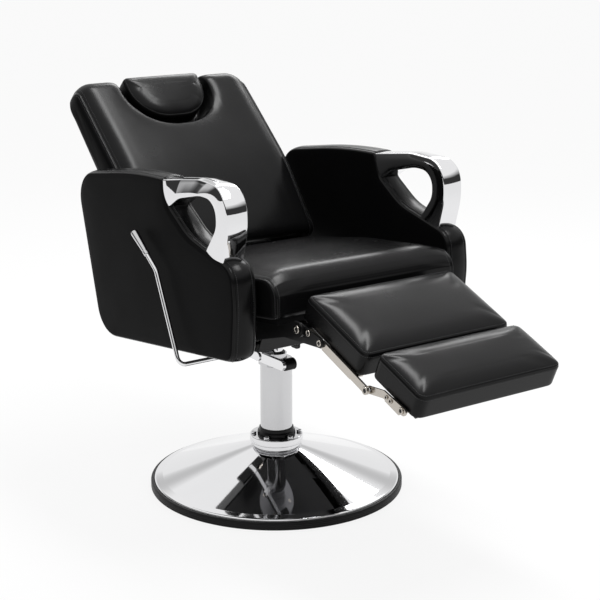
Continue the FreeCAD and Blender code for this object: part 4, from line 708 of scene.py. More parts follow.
def let_in_notch(x, loops):
    """Moves the front of the back's sections to the notch floor inside a rounded U, over a soft rim: the
    share let in rises smoothly from 0 outside the U's edge to 1 inside it, by the signed distance."""
    floor = NOTCH_FLOOR * MM
    first = BACK_POINTS
    last = 3 * BACK_POINTS
    along = loops[..., 0]
    flat = along.copy()
    top = slice(2 * BACK_POINTS - NOTCH_LEAD, last)
    part = loops[:, top]
    reach = np.cumsum(np.linalg.norm(np.diff(part, axis=1, prepend=part[:, :1]), axis=-1), axis=1)
    behind = part[..., 1] < floor
    full = np.max(np.where(behind, 0, reach), axis=1, keepdims=True)
    head = np.max(part[..., 0], axis=1, keepdims=True)
    flat[:, top] = np.where(behind, part[..., 0], part[:, :1, 0] + (head - part[:, :1, 0]) * reach / full)
    over = np.abs(x)[:, None] - (NOTCH_HALF - NOTCH_ROUND) * MM
    under = (NOTCH_LOW + NOTCH_ROUND) * MM - along
    outside = np.hypot(np.maximum(over, 0), np.maximum(under, 0)) + np.minimum(np.maximum(over, under), 0)
    outside -= NOTCH_ROUND * MM
    share = np.clip((NOTCH_WALL_START * MM - outside) / (NOTCH_WALL * MM), 0, 1)
    share = share ** 2 * (3 - 2 * share)
    number = np.arange(loops.shape[1])
    front = (number >= first) & (number < last) & (loops[..., 1] > floor)
    share = np.where(front, share, 0)
    moved = loops.copy()
    rim = NOTCH_RIM * MM * (1 - roll_share(np.maximum(outside, 0), NOTCH_RIM_ROLL * MM))
    moved[..., 1] -= np.where(front, rim * (1 - share), 0)
    moved[..., 0] += share * (flat - along)
    moved[..., 1] += share * (floor - loops[..., 1])
    return moved, share


def bolt_head(radius, height):
    """Low dome on a short shank: a quarter ellipse turned round its axis, with the third axis up."""
    angle = np.linspace(0, np.pi / 2, 6)[:-1]
    shank = radius * SHANK_SHARE
    low = np.array([[shank, -SHANK_SUNK], [radius, -HEAD_SUNK], [radius, height * DOME_START]])
    share = DOME_START + (1 - DOME_START) * np.sin(angle)
    dome = np.stack([radius * np.cos(angle), height * share], axis=-1)
    rows = turned(np.vstack([low, dome[1:]]), HEAD_POINTS)
    return tube(rows, ((0, 0, 0), (0, 0, height * DOME_SWELL)))


def washer(radius, hole, height):
    """Ring with rounded edges: a small rounded rectangle turned round its axis, with the third axis up."""
    edge = min(radius - hole, height) * WASHER_EDGE
    near = edge * WASHER_NEAR
    profile = np.array([[hole, -HEAD_SUNK], [radius, -HEAD_SUNK], [radius, height - edge],
                        [radius - near, height - near], [radius - edge, height], [hole + edge, height],
                        [hole + near, height - near], [hole, height - edge]])
    return ring(turned(profile, WASHER_POINTS))


def joined(pieces):
    """Points and faces of several shapes as one."""
    starts = np.cumsum([0] + [len(points) for points, _ in pieces])
    faces = []
    for (_, every), start in zip(pieces, starts.tolist()):
        faces += [[corner + start for corner in face] for face in every]
    return np.concatenate([points for points, _ in pieces]), faces


class Value:
    """A number in a material's node tree; plain arithmetic on it adds Math nodes."""

    def __init__(self, tree, socket):
        self.tree = tree
        self.socket = socket

    def made(self, operation, first, second):
        """Math node of two numbers or sockets."""
        return self.tree.value("ShaderNodeMath", {0: first, 1: second}, operation=operation)

    def __add__(self, other):
        return self.made("ADD", self, other)

    def __radd__(self, other):
        return self.made("ADD", other, self)

    def __sub__(self, other):
        return self.made("SUBTRACT", self, other)

    def __rsub__(self, other):
        return self.made("SUBTRACT", other, self)

    def __mul__(self, other):
        return self.made("MULTIPLY", self, other)

    def __rmul__(self, other):
        return self.made("MULTIPLY", other, self)


class Tree:
    """Node tree of a material or the world."""

    def __init__(self, owner):
        owner.use_nodes = True
        self.nodes = owner.node_tree.nodes
        self.links = owner.node_tree.links
        self.nodes.clear()

    def node(self, kind, inputs=None, **settings):
        """Any node: settings are its properties, inputs go on its sockets by name or number."""
        made = self.nodes.new(kind)
        for key, value in settings.items():
            setattr(made, key, value)
        for key, value in (inputs or {}).items():
            if isinstance(value, Value):
                self.links.new(value.socket, made.inputs[key])
            elif isinstance(value, bpy.types.NodeSocket):
                self.links.new(value, made.inputs[key])
            else:
                made.inputs[key].default_value = value
        return made

    def value(self, kind, inputs=None, output=0, **settings):
        """A node's output as a number."""
        return Value(self, self.node(kind, inputs, **settings).outputs[output])

    def clamp(self, value, low, high, start, end):
        """A number brought from a range to another and kept in it."""
        return self.value("ShaderNodeMapRange", {"Value": value, "From Min": low, "From Max": high,
                                                 "To Min": start, "To Max": end})

    def colour(self, share, first, second):
        """Two colours mixed by a share."""
        ends = {0: share, 6: (*first, 1), 7: (*second, 1)}
        return self.node("ShaderNodeMix", ends, data_type="RGBA").outputs[2]


def surface(name, base, rough, metal=0.0, patch=0.06, patch_scale=9.0, level=0.5, bump=None):
    """A finish: base colour with slow patches of tone, roughness that varies with them, and a bump made
    by the function given with the tree and the piece's own coordinates."""
    material = bpy.data.materials.new("chair_" + name)
    tree = Tree(material)
    place = tree.node("ShaderNodeTexCoord").outputs["Object"]
    slow = tree.value("ShaderNodeTexNoise", {"Vector": place, "Scale": patch_scale, "Detail": 3.0})
    darker = tuple(channel * (1 - patch) for channel in base)
    lighter = tuple(min(channel * (1 + patch), 1.0) for channel in base)
    bsdf = tree.node("ShaderNodeBsdfPrincipled", {
        "Base Color": tree.colour(slow, darker, lighter),
        "Roughness": tree.clamp(slow, 0.1, 0.9, rough * (1 - patch), rough * (1 + patch)),
        "Metallic": metal,
        "Specular IOR Level": level,
    })
    if bump is not None:
        height, depth, strength = bump(tree, place)
        made = tree.node("ShaderNodeBump", {"Height": height, "Distance": depth, "Strength": strength})
        tree.links.new(made.outputs[0], bsdf.inputs["Normal"])
    tree.node("ShaderNodeOutputMaterial", {"Surface": bsdf.outputs[0]})
    return material


def leather_grain(tree, place):
    """Fine pebbled grain over slow unevenness of the padding."""
    pebble = tree.value("ShaderNodeTexVoronoi", {"Vector": place, "Scale": 640.0})
    crease = tree.value("ShaderNodeTexNoise", {"Vector": place, "Scale": 210.0, "Detail": 4.0})
    return pebble * 0.55 + crease * 0.45, 0.00006, 0.3


def brushed_lines(tree, place):
    """Fine lines round an upright turned surface."""
    across = tree.node("ShaderNodeMapping", {"Vector": place, "Scale": (40.0, 40.0, 900.0)})
    return tree.value("ShaderNodeTexNoise", {"Vector": across.outputs[0], "Scale": 3.0}), 0.0001, 0.1


def rubber_tooth(tree, place):
    """Slightly rough moulded skin."""
    return tree.value("ShaderNodeTexNoise", {"Vector": place, "Scale": 400.0, "Detail": 3.0}), 0.0003, 0.2


def wood_lines(tree, place):
    """Ply grain along the sheet."""
    along = tree.node("ShaderNodeMapping", {"Vector": place, "Scale": (60.0, 6.0, 6.0)})
    lines = tree.value("ShaderNodeTexNoise", {"Vector": along.outputs[0], "Scale": 2.0, "Detail": 5.0})
    return lines, 0.0004, 0.2


def make_materials(covers, chrome):
    """Every finish of the chair, named by its slot, a less shiny copy of the leather that paints shade on
    the side panels, and the thread.
    """
    black = tuple(covers.leather)
    hide = {"patch": 0.12, "patch_scale": 14.0, "bump": leather_grain}
    surface("black_leather", black, covers.leather_rough, level=0.16, **hide)
    # Painted shade: the same black leather with less shine and more roughness, so that the side faces render
    # dark.
    surface("shaded_side_leather", black, 0.45, level=0.03, **hide)
    surface("black_thread", tuple(min(channel * 9, 1) for channel in black), 0.5, level=0.3)
    surface("black_rubber", (0.005, 0.005, 0.0055), 0.4, level=0.2, bump=rubber_tooth)
    surface("mirror_chrome", tuple(chrome.chrome), 0.045, metal=1.0, patch=0.02)
    surface("satin_steel", (0.60, 0.60, 0.61), 0.2, metal=1.0, patch=0.04, bump=brushed_lines)
    surface("grey_steel", (0.22, 0.22, 0.23), 0.45, metal=0.8)
    surface("zinc_steel", (0.52, 0.485, 0.44), 0.2, metal=1.0, patch=0.08)
    surface("black_steel", (0.006, 0.006, 0.0065), 0.36, level=0.22)
    surface("black_board", (0.006, 0.006, 0.0065), 0.5, level=0.1, bump=leather_grain)
    surface("plywood", (0.42, 0.28, 0.16), 0.6, patch=0.15, bump=wood_lines)
    surface("black_plastic", (0.012, 0.012, 0.013), 0.4)
    surface("dark_grip", (0.60, 0.60, 0.61), 0.12, metal=1.0)
    surface("bronze", (0.45, 0.30, 0.14), 0.35, metal=1.0)


def material_of(slot):
    """A finish that make_materials made."""
    return bpy.data.materials["chair_" + slot]


class CoverLook(bpy.types.PropertyGroup):
    """Leather and sewing."""

    leather: bpy.props.FloatVectorProperty(name="Leather", description="Colour of the covers",
                                           subtype="COLOR", default=(0.004, 0.004, 0.0042), min=0, max=1)
    leather_rough: bpy.props.FloatProperty(name="Leather roughness", description="How dull the covers are",
                                           default=0.26, min=0.05, max=1, subtype="FACTOR")
    stitch_pitch: bpy.props.FloatProperty(name="Stitch pitch", description="Distance between stitches",
                                          default=0.0046, min=0.003, max=0.02, unit="LENGTH")
    thread: bpy.props.FloatProperty(name="Thread", description="Radius of the thread",
                                    default=0.0009, min=0.0003, max=0.002, unit="LENGTH")
    seam_depth: bpy.props.FloatProperty(name="Seam depth", description="How far a seam sinks in its cover",
                                        default=0.002, min=0, max=0.005, unit="LENGTH")


class ChromeLook(bpy.types.PropertyGroup):
    """Bright metal."""

    chrome: bpy.props.FloatVectorProperty(name="Chrome", description="Colour of the plating",
                                          subtype="COLOR", default=(0.78, 0.78, 0.79), min=0, max=1)
    loop_edge: bpy.props.FloatProperty(name="Loop edge", description="Edge radius of the arm loops",
                                       default=0.0035, min=0.001, max=0.01, unit="LENGTH")
    loop_lean: bpy.props.FloatProperty(name="Loop lean", description="How far the loops' tops lean inwards",
                                       default=0.010, min=0, max=0.02, unit="LENGTH")
    loop_crown: bpy.props.FloatProperty(name="Loop crown", description="How far the loops' faces stand out",
                                        default=0.0022, min=0, max=0.008, unit="LENGTH")


class StudioLook(bpy.types.PropertyGroup):
    """Floor, light and camera."""

    key_power: bpy.props.FloatProperty(name="Key light", description="Power of the overhead soft light",
                                       default=64.0, min=0, max=500, unit="POWER")
    side_power: bpy.props.FloatProperty(name="Side light", description="Power of the far side's soft light",
                                        default=22.0, min=0, max=500, unit="POWER")
    sky: bpy.props.FloatProperty(name="Sky", description="Brightness of the studio ceiling",
                                 default=1.0, min=0, max=4)
    lens: bpy.props.FloatProperty(name="Lens", description="Focal length of the camera in millimetres",
                                  default=92.068, min=20, max=300)


class ChairLook(bpy.types.PropertyGroup):
    """All settings of the chair."""

    covers: bpy.props.PointerProperty(type=CoverLook, name="Covers", description="Leather and sewing")
    chrome: bpy.props.PointerProperty(type=ChromeLook, name="Chrome", description="Bright metal")
    studio: bpy.props.PointerProperty(type=StudioLook, name="Studio", description="Floor, light, camera")


class CHAIR_OT_seat(bpy.types.Operator):
    """Seat cover: a section swept across the seat, higher in the middle, with sewn sides"""

    bl_idname = "chair.seat"
    bl_label = "Seat cover"

    def execute(self, context):
        look = context.scene.barber_chair.covers
        stops = (0, 1, 2, 4)
        low = loop_points(SEAT_SEAM, SEAT_POINTS, stops) * MM
        top = loop_points(SEAT_TOP, SEAT_POINTS, stops) * MM
        half = SEAT_HALF * MM
        inner = np.linspace(half, 0, 40)
        x, loops, seam = swept_rows(low, top, half, SEAT_EDGE * MM, inner, SEAT_ROLL * MM, look.seam_depth)
        rows = on_slope(x[:, None], loops[..., 0], loops[..., 1], SEAT_ORIGIN, SEAT_ALONG, SEAT_UP)
        sides = np.abs(x[:, None]) > x[seam] - HELD_MARGIN
        held = (loops[..., 1] < SEAT_HELD * MM) | sides
        lifts = ((END_DOME, 0, 0), (-END_DOME, 0, 0))
        cover = make_cover("seat_cover", rows, lifts, held, "seat", "seat_cushion")
        shade_ends(cover, rows.shape, seam - BRIGHT_ROWS)
        sew_sides("seat_stitching", cover, rows.shape, seam, slice(*SEAT_SEWN), "seat", look)
        return {"FINISHED"}


class CHAIR_OT_back(bpy.types.Operator):
    """Back cover: a section swept across the back, with the headrest's notch let into its top"""

    bl_idname = "chair.back"
    bl_label = "Back cover"

    def execute(self, context):
        look = context.scene.barber_chair.covers
        stops = (0, 1, 3, 4)
        low = loop_points(BACK_SEAM, BACK_POINTS, stops, BACK_FOCUS) * MM
        top = loop_points(BACK_TOP, BACK_POINTS, stops, BACK_FOCUS) * MM
        half = BACK_HALF * MM
        runs = zip(BACK_ROWS[:-1], BACK_ROWS[1:], BACK_ROW_COUNTS)
        inner = np.unique(np.concatenate([np.linspace(*run) for run in runs]))[::-1] * MM
        x, loops, seam = swept_rows(low, top, half, BACK_EDGE * MM, inner, BACK_ROLL * MM, look.seam_depth)
        loops, notch = let_in_notch(x, loops)
        across = self.round_corners(x[:, None], loops)
        rows = on_slope(across, loops[..., 0], loops[..., 1], BACK_ORIGIN, BACK_ALONG, BACK_UP)
        sides = np.abs(x[:, None]) > x[seam] - HELD_MARGIN
        held = (loops[..., 1] < BACK_HELD * MM) | sides | (notch > NOTCH_HELD)
        lifts = ((END_DOME, 0, 0), (-END_DOME, 0, 0))
        cover = make_cover("back_cover", rows, lifts, held, "back", "back_cushion")
        shade_ends(cover, rows.shape, seam - BRIGHT_ROWS)
        sew_sides("back_stitching", cover, rows.shape, seam, slice(*BACK_SEWN), "back", look)
        self.add_shell()
        return {"FINISHED"}

    def round_corners(self, x, loops):
        """Lowers the top of the sections towards both sides by a circle's arc, and returns the places
        across, drawn in towards the rear by a power of the depth."""
        half = BACK_HALF * MM
        corner = BACK_CORNER * MM
        far = np.clip(np.abs(x) - (half - corner), 0, corner)
        drop = corner - np.sqrt(corner ** 2 - far ** 2)
        start, end = np.array(BACK_CORNER_RUN) * MM
        loops[..., 0] -= drop * np.clip((loops[..., 0] - start) / (end - start), 0, 1) ** 2
        front, rear = np.array(BACK_TAPER_RUN) * MM
        behind = np.clip((front - loops[..., 1]) / (front - rear), 0, 1)
        return x * (1 - BACK_TAPER / BACK_HALF * behind ** BACK_TAPER_POWER)

    def add_shell(self):
        """Rear shell: a rounded plan, drawn in at both faces to round its edges."""
        plan = loop_points(SHELL_PLAN, SHELL_POINTS, (0, 1, 2, 3)) * MM
        drawn = np.array(SHELL_DRAWN)[:, None, None] * MM
        height = np.array(SHELL_HEIGHTS)[:, None] * MM
        plan = plan[None] - outward(plan)[None] * drawn
        rows = on_slope(plan[..., 1], plan[..., 0], height, BACK_ORIGIN, BACK_ALONG, BACK_UP)
        points, faces = tube(rows)
        add_piece("back_shell", points, faces, "back", "black_board", ("back_panel",))


class CHAIR_OT_headrest(bpy.types.Operator):
    """Headrest pad: a rounded plan drawn in towards its face like a pillow"""

    bl_idname = "chair.headrest"
    bl_label = "Headrest cover"

    def execute(self, context):
        look = context.scene.barber_chair.covers
        plan = np.array(HEADREST_PLAN) * MM
        span = np.array(HEADREST_SPAN) * MM
        plan, height, seam = pad_rows(plan, span, HEADREST_RISE * MM, HEADREST_ROLL * MM, HEADREST_FOOT * MM,
                                      look.seam_depth, HEADREST_POINTS)
        rows = on_slope(plan[..., 0], plan[..., 1], height, BACK_ORIGIN, BACK_ALONG, BACK_UP)
        held = np.zeros(rows.shape[:2], bool)
        held[:seam + 1] = True
        lifts = ((0, 0, 0), (0, *(PAD_DOME * BACK_UP)))
        cover = make_cover("headrest_cover", rows, lifts, held, "headrest", "headrest_cushion")
        sew_round("headrest_stitching", cover, rows.shape, (seam + SEWN_ROWS,), "headrest", look)
        return {"FINISHED"}


class CHAIR_OT_leg_pads(bpy.types.Operator):
    """Legrest and footrest covers: crowned panels on boxing, sewn round the top"""

    bl_idname = "chair.leg_pads"
    bl_label = "Leg pads"

    def execute(self, context):
        look = context.scene.barber_chair.covers
        lifts = ((0, 0, 0), (0, *(PAD_DOME * LEG_UP)))
        pads = (("legrest", LEGREST_PLAN, LEGREST_SPAN, LEGREST_ROLL),
                ("footrest", FOOTREST_PLAN, FOOTREST_SPAN, FOOTREST_ROLL))
        for body, plan, span, roll in pads:
            place, height, seam = pad_rows(np.array(plan) * MM, np.array(span) * MM, LEG_PAD_RISE * MM,
                                           roll * MM, LEG_PAD_FOOT * MM, look.seam_depth, LEG_PAD_POINTS)
            rows = on_slope(place[..., 0], place[..., 1], height, LEG_ORIGIN, LEG_ALONG, LEG_UP)
            held = np.zeros(rows.shape[:2], bool)
            held[:seam + 1] = True
            cover = make_cover(f"{body}_cover", rows, lifts, held, body, f"{body}_cushion")
            sewn = (seam - SEWN_BAND, seam + SEWN_ROWS)
            sew_round(f"{body}_stitching", cover, rows.shape, sewn, body, look)
        return {"FINISHED"}


class CHAIR_OT_arms(bpy.types.Operator):
    """Side panels: an outline of the arm between two sewn faces and a band round them"""

    bl_idname = "chair.arms"
    bl_label = "Side panels"

    def execute(self, context):
        look = context.scene.barber_chair.covers
        loop = loop_points(ARM_PLAN, ARM_POINTS, (0, 2, 3, 4)) * MM
        normal = outward(loop)
        half = (ARM_SPAN[1] - ARM_SPAN[0]) / 2 * MM
        centre = (ARM_SPAN[1] + ARM_SPAN[0]) / 2 * MM
        edge = ARM_EDGE * MM
        band = half - edge - np.array(ARM_BAND_STEPS) * MM
        band = np.append(band[band > 0], 0.0)
        x, drawn = edge_rows(half, edge, np.concatenate([band, -band[-2::-1]]))
        seam = EDGE_STEPS
        drawn -= ARM_BAND_CROWN * MM * np.clip(1 - (x / (half - edge)) ** 2, 0, 1)
        drawn[[seam, -1 - seam]] += look.seam_depth
        plan = loop[None] - normal[None] * drawn[:, None, None]
        held = np.ones(plan.shape[:2], bool)
        held[[0, 1, -1, -2]] = False
        outer, inner = np.array(ARM_DOMES) * MM
        for name, side in (("left", 1.0), ("right", -1.0)):
            across = np.broadcast_to((side * (centre + x))[:, None], plan.shape[:2])
            rows = np.stack([across, plan[..., 0], plan[..., 1]], axis=-1)
            lifts = ((side * outer, 0, 0), (side * -inner, 0, 0))
            cover = make_cover(f"arm_cover_{name}", rows, lifts, held, "seat", f"arm_pad_{name}")
            shade_ends(cover, rows.shape, ARM_SHADED_ROWS)
            sewn = (seam + SEWN_BAND, -1 - seam - SEWN_BAND)
            sew_round(f"arm_stitching_{name}", cover, rows.shape, sewn, "seat", look)
        return {"FINISHED"}


class CHAIR_OT_arm_loops(bpy.types.Operator):
    """Chrome arm loops: a crowned rectangle carried between an outer and an inner rail"""

    bl_idname = "chair.arm_loops"
    bl_label = "Chrome arm loops"

    def execute(self, context):
        look = context.scene.barber_chair.chrome
        outer = path_points(LOOP_OUTER, LOOP_POINTS) * MM
        inner = path_points(LOOP_INNER, LOOP_POINTS) * MM
        middle = (outer + inner) / 2
        deep = np.linalg.norm(outer - inner, axis=1)[:, None] / 2
        toward = unit(outer - inner)
        centre = sum(LOOP_SPAN) / 2 * MM
        wide = (LOOP_SPAN[1] - LOOP_SPAN[0]) / 2 * MM
        corner_x, corner_d, run_x, run_d = self.section()
        bow_x = np.where(corner_d == 0, corner_x, 0) * (1 - run_d ** 2) * look.loop_crown
        bow_d = np.where(corner_x == 0, corner_d, 0) * (1 - run_x ** 2) * look.loop_crown
        edge = look.loop_edge
        x = run_x * (wide - edge) + corner_x * edge + bow_x
        along = np.linspace(0, 1, len(outer))[:, None]
        lean = look.loop_lean * np.interp(along, LOOP_LEAN_RUN, (0, 1, 1, 0))
        x = x - lean * np.where(run_x + corner_x > 0, (run_x + 1) * (run_d + 1) / 4, 0)
        depth = run_d * (deep - edge) + corner_d * edge + bow_d
        plan = middle[:, None] + toward[:, None] * depth[..., None]
        for name, side in (("left", 1.0), ("right", -1.0)):
            across = side * (centre + x)
            points, faces = tube(np.stack([across, plan[..., 0], plan[..., 1]], axis=-1))
            add_piece(f"arm_loop_{name}", points, faces, "seat", "mirror_chrome", (f"chrome_arm_{name}",))
        return {"FINISHED"}

    def section(self):
        """Rounded rectangle of half size 1 across and deep: at each point round it the direction in its
        corner's arc, as a cosine and a sine, and the place of that arc's centre."""
        flat = np.linspace(-1, 1, 9)[1:-1]
        angle = np.linspace(0, np.pi / 2, 6)
        bend = np.ones_like(angle)
        run = np.ones_like(flat)
        cos = np.cos(angle)
        sin = np.sin(angle)
        corner_x = np.concatenate([cos, 0 * run, -sin, -run, -cos, 0 * run, sin, run])
        corner_d = np.concatenate([sin, run, cos, 0 * run, -sin, -run, -cos, 0 * run])
        run_x = np.concatenate([bend, -flat, -bend, -run, -bend, flat, bend, run])
        run_d = np.concatenate([bend, run, bend, -flat, -bend, -run, -bend, flat])
        return corner_x, corner_d, run_x, run_d


class CHAIR_OT_stand(bpy.types.Operator):
    """Dish, rubber ring, flange, bolts, column and ram: profiles turned round the pump's axis"""

    bl_idname = "chair.stand"
    bl_label = "Stand and pump"

    def execute(self, context):
        rings = (("dish", DISH, 7.0, 192, "mirror_chrome", ("base_dish",)),
                 ("foot_ring", self.rubber(), 4.0, 192, "black_rubber", ("base_trim_ring",)),
                 ("column_flange", FLANGE, 3.0, 128, "mirror_chrome", ("pump_flange",)),
                 # The collar is black as a painted dark reflection of chrome.
                 ("dark_painted_collar", COLLAR, 3.0, 96, "black_steel", ()))
        for name, corners, step, around, slot, nodes in rings:
            points, faces = turned_ring(corners, step, around)
            add_piece(name, points, faces, "base", slot, nodes)
        ram_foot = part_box("ram_shaft")[0].z / MM
        shafts = (("column", "base", "satin_steel", "pump_cylinder", COLUMN_RADIUS, *COLUMN_SPAN),
                  ("ram", "ram", "mirror_chrome", "ram_shaft", RAM_RADIUS, ram_foot, RAM_TOP))
        for name, body, slot, node, radius, low, high in shafts:
            corners = ((0, low, 0), (radius, low, SHAFT_EDGE), (radius, high, SHAFT_EDGE), (0, high, 0))
            line = rounded_line(corners, closed=False)[ARC_STEPS:-ARC_STEPS]
            line = with_steps(line, SHAFT_STEP) * MM
            points, faces = tube(turned(line, SHAFT_POINTS))
            add_piece(name, points, faces, body, slot, (node,))
        self.bolts()
        return {"FINISHED"}

    def rubber(self):
        """Section of the rubber ring, with grooves round its outer face."""
        inner, outer, low, high = FOOT_RING
        corners = [(inner, low, 1), (outer, low, 2.5)]
        for z in FOOT_RING_GROOVES:
            corners += [(outer, z - GROOVE, 0.5), (outer - GROOVE, z, 0.4), (outer, z + GROOVE, 0.5)]
        return corners + [(outer, high, 3.5), (inner, high, 1)]

    def bolts(self):
        """Heads on the flange at even angles of a circle, each a ring with a black dome in it as painted
        shade of its socket.
        """
        angle = np.radians((np.arange(BOLT_COUNT) + 0.5) * 360 / BOLT_COUNT)
        circle = np.stack([np.cos(angle), np.sin(angle), np.zeros(BOLT_COUNT)], axis=-1)
        where = (BOLT_CIRCLE * circle + [0, 0, BOLT_FACE]) * MM
        along = np.tile([1.0, 0, 0], (BOLT_COUNT, 1))
        up = np.tile([0, 0, 1.0], (BOLT_COUNT, 1))
        points, every = place_copies(*washer(*np.array(BOLT_RING) * MM), where, along, up)
        add_piece("flange_bolt_heads", points, every, "base", "zinc_steel", ("flange_bolts",),
                  finish="mirror_chrome")
        # Painted shade: a black dome stands where the socket's hollow is.
        points, every = place_copies(*bolt_head(*np.array(BOLT_SOCKET) * MM), where, along, up)
        add_piece("flange_bolt_painted_sockets", points, every, "base", "black_steel")


class CHAIR_OT_lever(bpy.types.Operator):
    """Release lever: a bent rod and its tapered grip"""

    bl_idname = "chair.lever"
    bl_label = "Release lever"

    def execute(self, context):
        foot_y, foot_z = LEVER_FOOT
        knee_y, knee_z = LEVER_KNEE
        slope = (knee_z - foot_z) / (knee_y - foot_y)
        corner = (LEVER_X, foot_z, LEVER_BENDS[0])
        ends = ((LEVER_INNER_X, foot_z, 0), (LEVER_X, LEVER_LOW_END, 0))
        low = path_points((ends[0], corner, ends[1]), LEVER_POINTS[0])
        low = low[low[:, 1] < LEVER_JOIN]
        low = np.stack([low[:, 0], foot_y + (low[:, 1] - foot_z) / slope, low[:, 1]], axis=-1)
        join_y = foot_y + (LEVER_JOIN - foot_z) / slope
        knee = (knee_y, knee_z, LEVER_BENDS[1])
        high = path_points(((join_y, LEVER_JOIN, 0), knee, (*LEVER_TOP, 0)), LEVER_POINTS[1])
        high = np.column_stack([np.full(len(high), LEVER_X), high])
        path = np.concatenate([low, high]) * MM
        gap = np.linalg.norm(np.diff(path, axis=0), axis=1)
        path = path[np.concatenate([[True], gap > LEVER_GAP])]
        points, faces = tube(swept(path, LEVER_RADIUS * MM))
        add_piece("lever_rod", points, faces, "release_lever", "mirror_chrome", ("release_lever_rod",))
        start, end = (np.array([LEVER_X, *place]) * MM for place in GRIP_ENDS)
        path = start + np.array(GRIP_SHARES)[:, None] * (end - start)
        points, faces = tube(swept(path, np.array(GRIP_RADII) * MM))
        add_piece("lever_grip", points, faces, "release_lever", "dark_grip", ("release_lever_grip",))
        return {"FINISHED"}


class CHAIR_OT_rivets(bpy.types.Operator):
    """Round heads of the linkage's rivets and pins"""

    bl_idname = "chair.rivets"
    bl_label = "Rivet heads"

    def execute(self, context):
        knee, tip = np.array(FOOTREST_BAR)
        foot = [FOOTREST_PIN]
        for share, radius in FOOTREST_BAR_RIVETS:
            foot.append((*(knee + share * (tip - knee)), FOOTREST_BAR_FACE, radius))
        for body, rivets in (("legrest", LEGREST_RIVETS), ("footrest", foot)):
            rings, painted_cores = [], []
            for along, up, face, radius in np.array(rivets) * MM:
                across = np.array([face, -face])
                where = on_slope(across, along, up, LEG_ORIGIN, LEG_ALONG, LEG_UP)
                out = np.stack([np.sign(across), 0 * across, 0 * across], axis=-1)
                front = np.tile([0.0, 1.0, 0.0], (2, 1))
                edge = washer(radius, radius * RIVET_RING_HOLE, RIVET_RING_HEIGHT * MM)
                rings.append(place_copies(*edge, where, front, out))
                # The black core is a painted dark reflection in the hollow of the rivet's head.
                painted_core = bolt_head(radius * RIVET_CORE, RIVET_CORE_HEIGHT * MM)
                painted_cores.append(place_copies(*painted_core, where, front, out))
            add_piece(f"{body}_rivet_rings", *joined(rings), body, "zinc_steel", (f"{body}_rivets",))
            add_piece(f"{body}_rivet_painted_dark_cores", *joined(painted_cores), body, "zinc_steel", finish="black_steel")
        return {"FINISHED"}


class CHAIR_OT_finishes(bpy.types.Operator):
    """Materials of every finish, and the finish of each CAD node"""

    bl_idname = "chair.finishes"
    bl_label = "Finishes"

    def execute(self, context):
        chair = context.scene.barber_chair
        make_materials(chair.covers, chair.chrome)
        for part in frame["record"]["subparts"]:
            mesh = frame["nodes"][part["node"]].data
            mesh.materials.clear()
            # Painted shade: the drive links are zinc, but get black steel so that they sit dark under the
            # pad.
            finish = "black_steel" if part["node"] == "drive_links" else part["material_slot"]
            mesh.materials.append(material_of(finish))
        return {"FINISHED"}


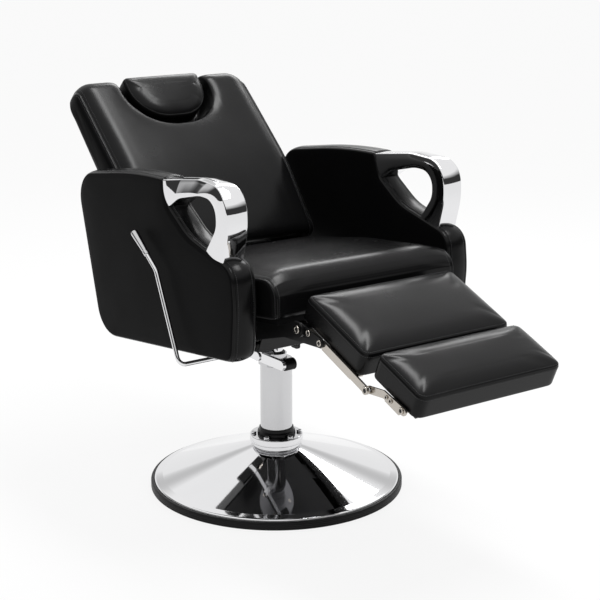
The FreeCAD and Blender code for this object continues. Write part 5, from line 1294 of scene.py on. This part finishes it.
class CHAIR_OT_studio(bpy.types.Operator):
    """White floor that keeps the shadow, soft lights and the camera"""

    bl_idname = "chair.studio"
    bl_label = "Studio"

    def execute(self, context):
        look = context.scene.barber_chair.studio
        scene = context.scene
        scene.view_settings.view_transform = "Standard"
        mesh = bpy.data.meshes.new("floor")
        corners = ((-1, -1, 0), (1, -1, 0), (1, 1, 0), (-1, 1, 0))
        mesh.from_pydata((np.array(corners) * FLOOR_REACH).tolist(), [], [(0, 1, 2, 3)])
        floor = bpy.data.objects.new("floor", mesh)
        scene.collection.objects.link(floor)
        mesh.materials.append(self.floor_paint())
        self.sky(scene, look.sky)
        self.lamp(scene, "key", look.key_power, *KEY_LAMP)
        self.lamp(scene, "side", look.side_power, *SIDE_LAMP)
        camera = bpy.data.objects.new("camera", bpy.data.cameras.new("camera"))
        camera.data.lens = look.lens
        camera.data.sensor_width = CAMERA_SENSOR
        camera.location = CAMERA_PLACE
        camera.rotation_euler = CAMERA_TURN
        scene.collection.objects.link(camera)
        scene.camera = camera
        return {"FINISHED"}

    def floor_paint(self):
        """Pale paint that keeps the chair's shadow; camera, mirrors and glass see it near white."""
        material = bpy.data.materials.new("floor_paint")
        tree = Tree(material)
        tone = (FLOOR_TONE, FLOOR_TONE, FLOOR_TONE, 1)
        paint = tree.node("ShaderNodeBsdfDiffuse", {"Color": tone})
        glow = tree.node("ShaderNodeEmission", {"Color": (1, 1, 1, 1), "Strength": 1.0})
        share = self.looked_at(tree) * FLOOR_GLOW
        mixed = tree.node("ShaderNodeMixShader", {0: share, 1: paint.outputs[0], 2: glow.outputs[0]})
        tree.node("ShaderNodeOutputMaterial", {"Surface": mixed.outputs[0]})
        return material

    def looked_at(self, tree):
        """1 for rays from the camera, from mirrors and through glass, 0 for the light's own."""
        ray = tree.node("ShaderNodeLightPath").outputs
        bounced = Value(tree, ray["Is Glossy Ray"]) + Value(tree, ray["Is Transmission Ray"])
        return tree.clamp(Value(tree, ray["Is Camera Ray"]) + bounced, 0.0, 1.0, 0.0, 1.0)

    def sky(self, scene, level):
        """White backdrop behind the chair for the camera, mirrors and glass, a dim room on the other side
        that only mirrors show, and a bright ceiling over both."""
        world = bpy.data.worlds.new("studio")
        scene.world = world
        tree = Tree(world)
        way = tree.node("ShaderNodeTexCoord").outputs["Generated"]
        part = tree.node("ShaderNodeSeparateXYZ", {0: way}).outputs
        height = Value(tree, part[2])
        facing = Value(tree, part[0]) * VIEW_WAY[0] + Value(tree, part[1]) * VIEW_WAY[1]
        behind = tree.clamp(facing, *BACKDROP_SIDES, 0.0, 1.0)
        ceiling = tree.clamp(height, *CEILING_EDGE, ROOM_LEVEL, 1.0) * level
        backdrop = tree.clamp(height, *BACKDROP_TOP, 1.0, 0.0) * behind * self.looked_at(tree)
        seen = tree.value("ShaderNodeLightPath", output="Is Camera Ray")
        white = backdrop + (1 - backdrop) * seen
        strength = white * BACKDROP_WHITE + (1 - white) * ceiling
        back = tree.node("ShaderNodeBackground", {"Color": (1, 1, 1, 1), "Strength": strength})
        tree.node("ShaderNodeOutputWorld", {"Surface": back.outputs[0]})

    def lamp(self, scene, name, power, size, place, target):
        """Soft light of a width and length, turned to a point."""
        light = bpy.data.lights.new(name, "AREA")
        light.energy = power
        light.shape = "RECTANGLE"
        light.size = size[0]
        light.size_y = size[1]
        lamp = bpy.data.objects.new(name, light)
        way = np.array(target) - np.array(place)
        flat = math.hypot(way[0], way[1])
        lamp.rotation_euler = (math.atan2(flat, -way[2]), 0, math.atan2(-way[0], way[1]))
        lamp.location = place
        scene.collection.objects.link(lamp)


STEPS = (CHAIR_OT_finishes, CHAIR_OT_seat, CHAIR_OT_back, CHAIR_OT_headrest, CHAIR_OT_leg_pads,
         CHAIR_OT_arms, CHAIR_OT_arm_loops, CHAIR_OT_stand, CHAIR_OT_lever, CHAIR_OT_rivets, CHAIR_OT_studio)


class CHAIR_PT_panel(bpy.types.Panel):
    """The chair's pieces and settings in the sidebar"""

    bl_idname = "CHAIR_PT_panel"
    bl_label = "Barber chair"
    bl_space_type = "VIEW_3D"
    bl_region_type = "UI"
    bl_category = "Chair"

    def draw(self, context):
        chair = context.scene.barber_chair
        for group in (chair.covers, chair.chrome, chair.studio):
            for name in group.__annotations__:
                self.layout.prop(group, name)
        for step in STEPS:
            self.layout.operator(step.bl_idname)


CLASSES = (CoverLook, ChromeLook, StudioLook, ChairLook) + STEPS + (CHAIR_PT_panel,)


def register():
    """Adds the classes and the scene's settings."""
    for cls in CLASSES:
        bpy.utils.register_class(cls)
    bpy.types.Scene.barber_chair = bpy.props.PointerProperty(type=ChairLook, name="Barber chair",
                                                             description="Settings of the chair")


def unregister():
    """Takes them away again."""
    del bpy.types.Scene.barber_chair
    for cls in reversed(CLASSES):
        bpy.utils.unregister_class(cls)


def main():
    """Builds the chair and its studio."""
    register()
    bpy.ops.chair.finishes()
    bpy.ops.chair.seat()
    bpy.ops.chair.back()
    bpy.ops.chair.headrest()
    bpy.ops.chair.leg_pads()
    bpy.ops.chair.arms()
    bpy.ops.chair.arm_loops()
    bpy.ops.chair.stand()
    bpy.ops.chair.lever()
    bpy.ops.chair.rivets()
    bpy.ops.chair.studio()


if __name__ == "__main__":
    main()
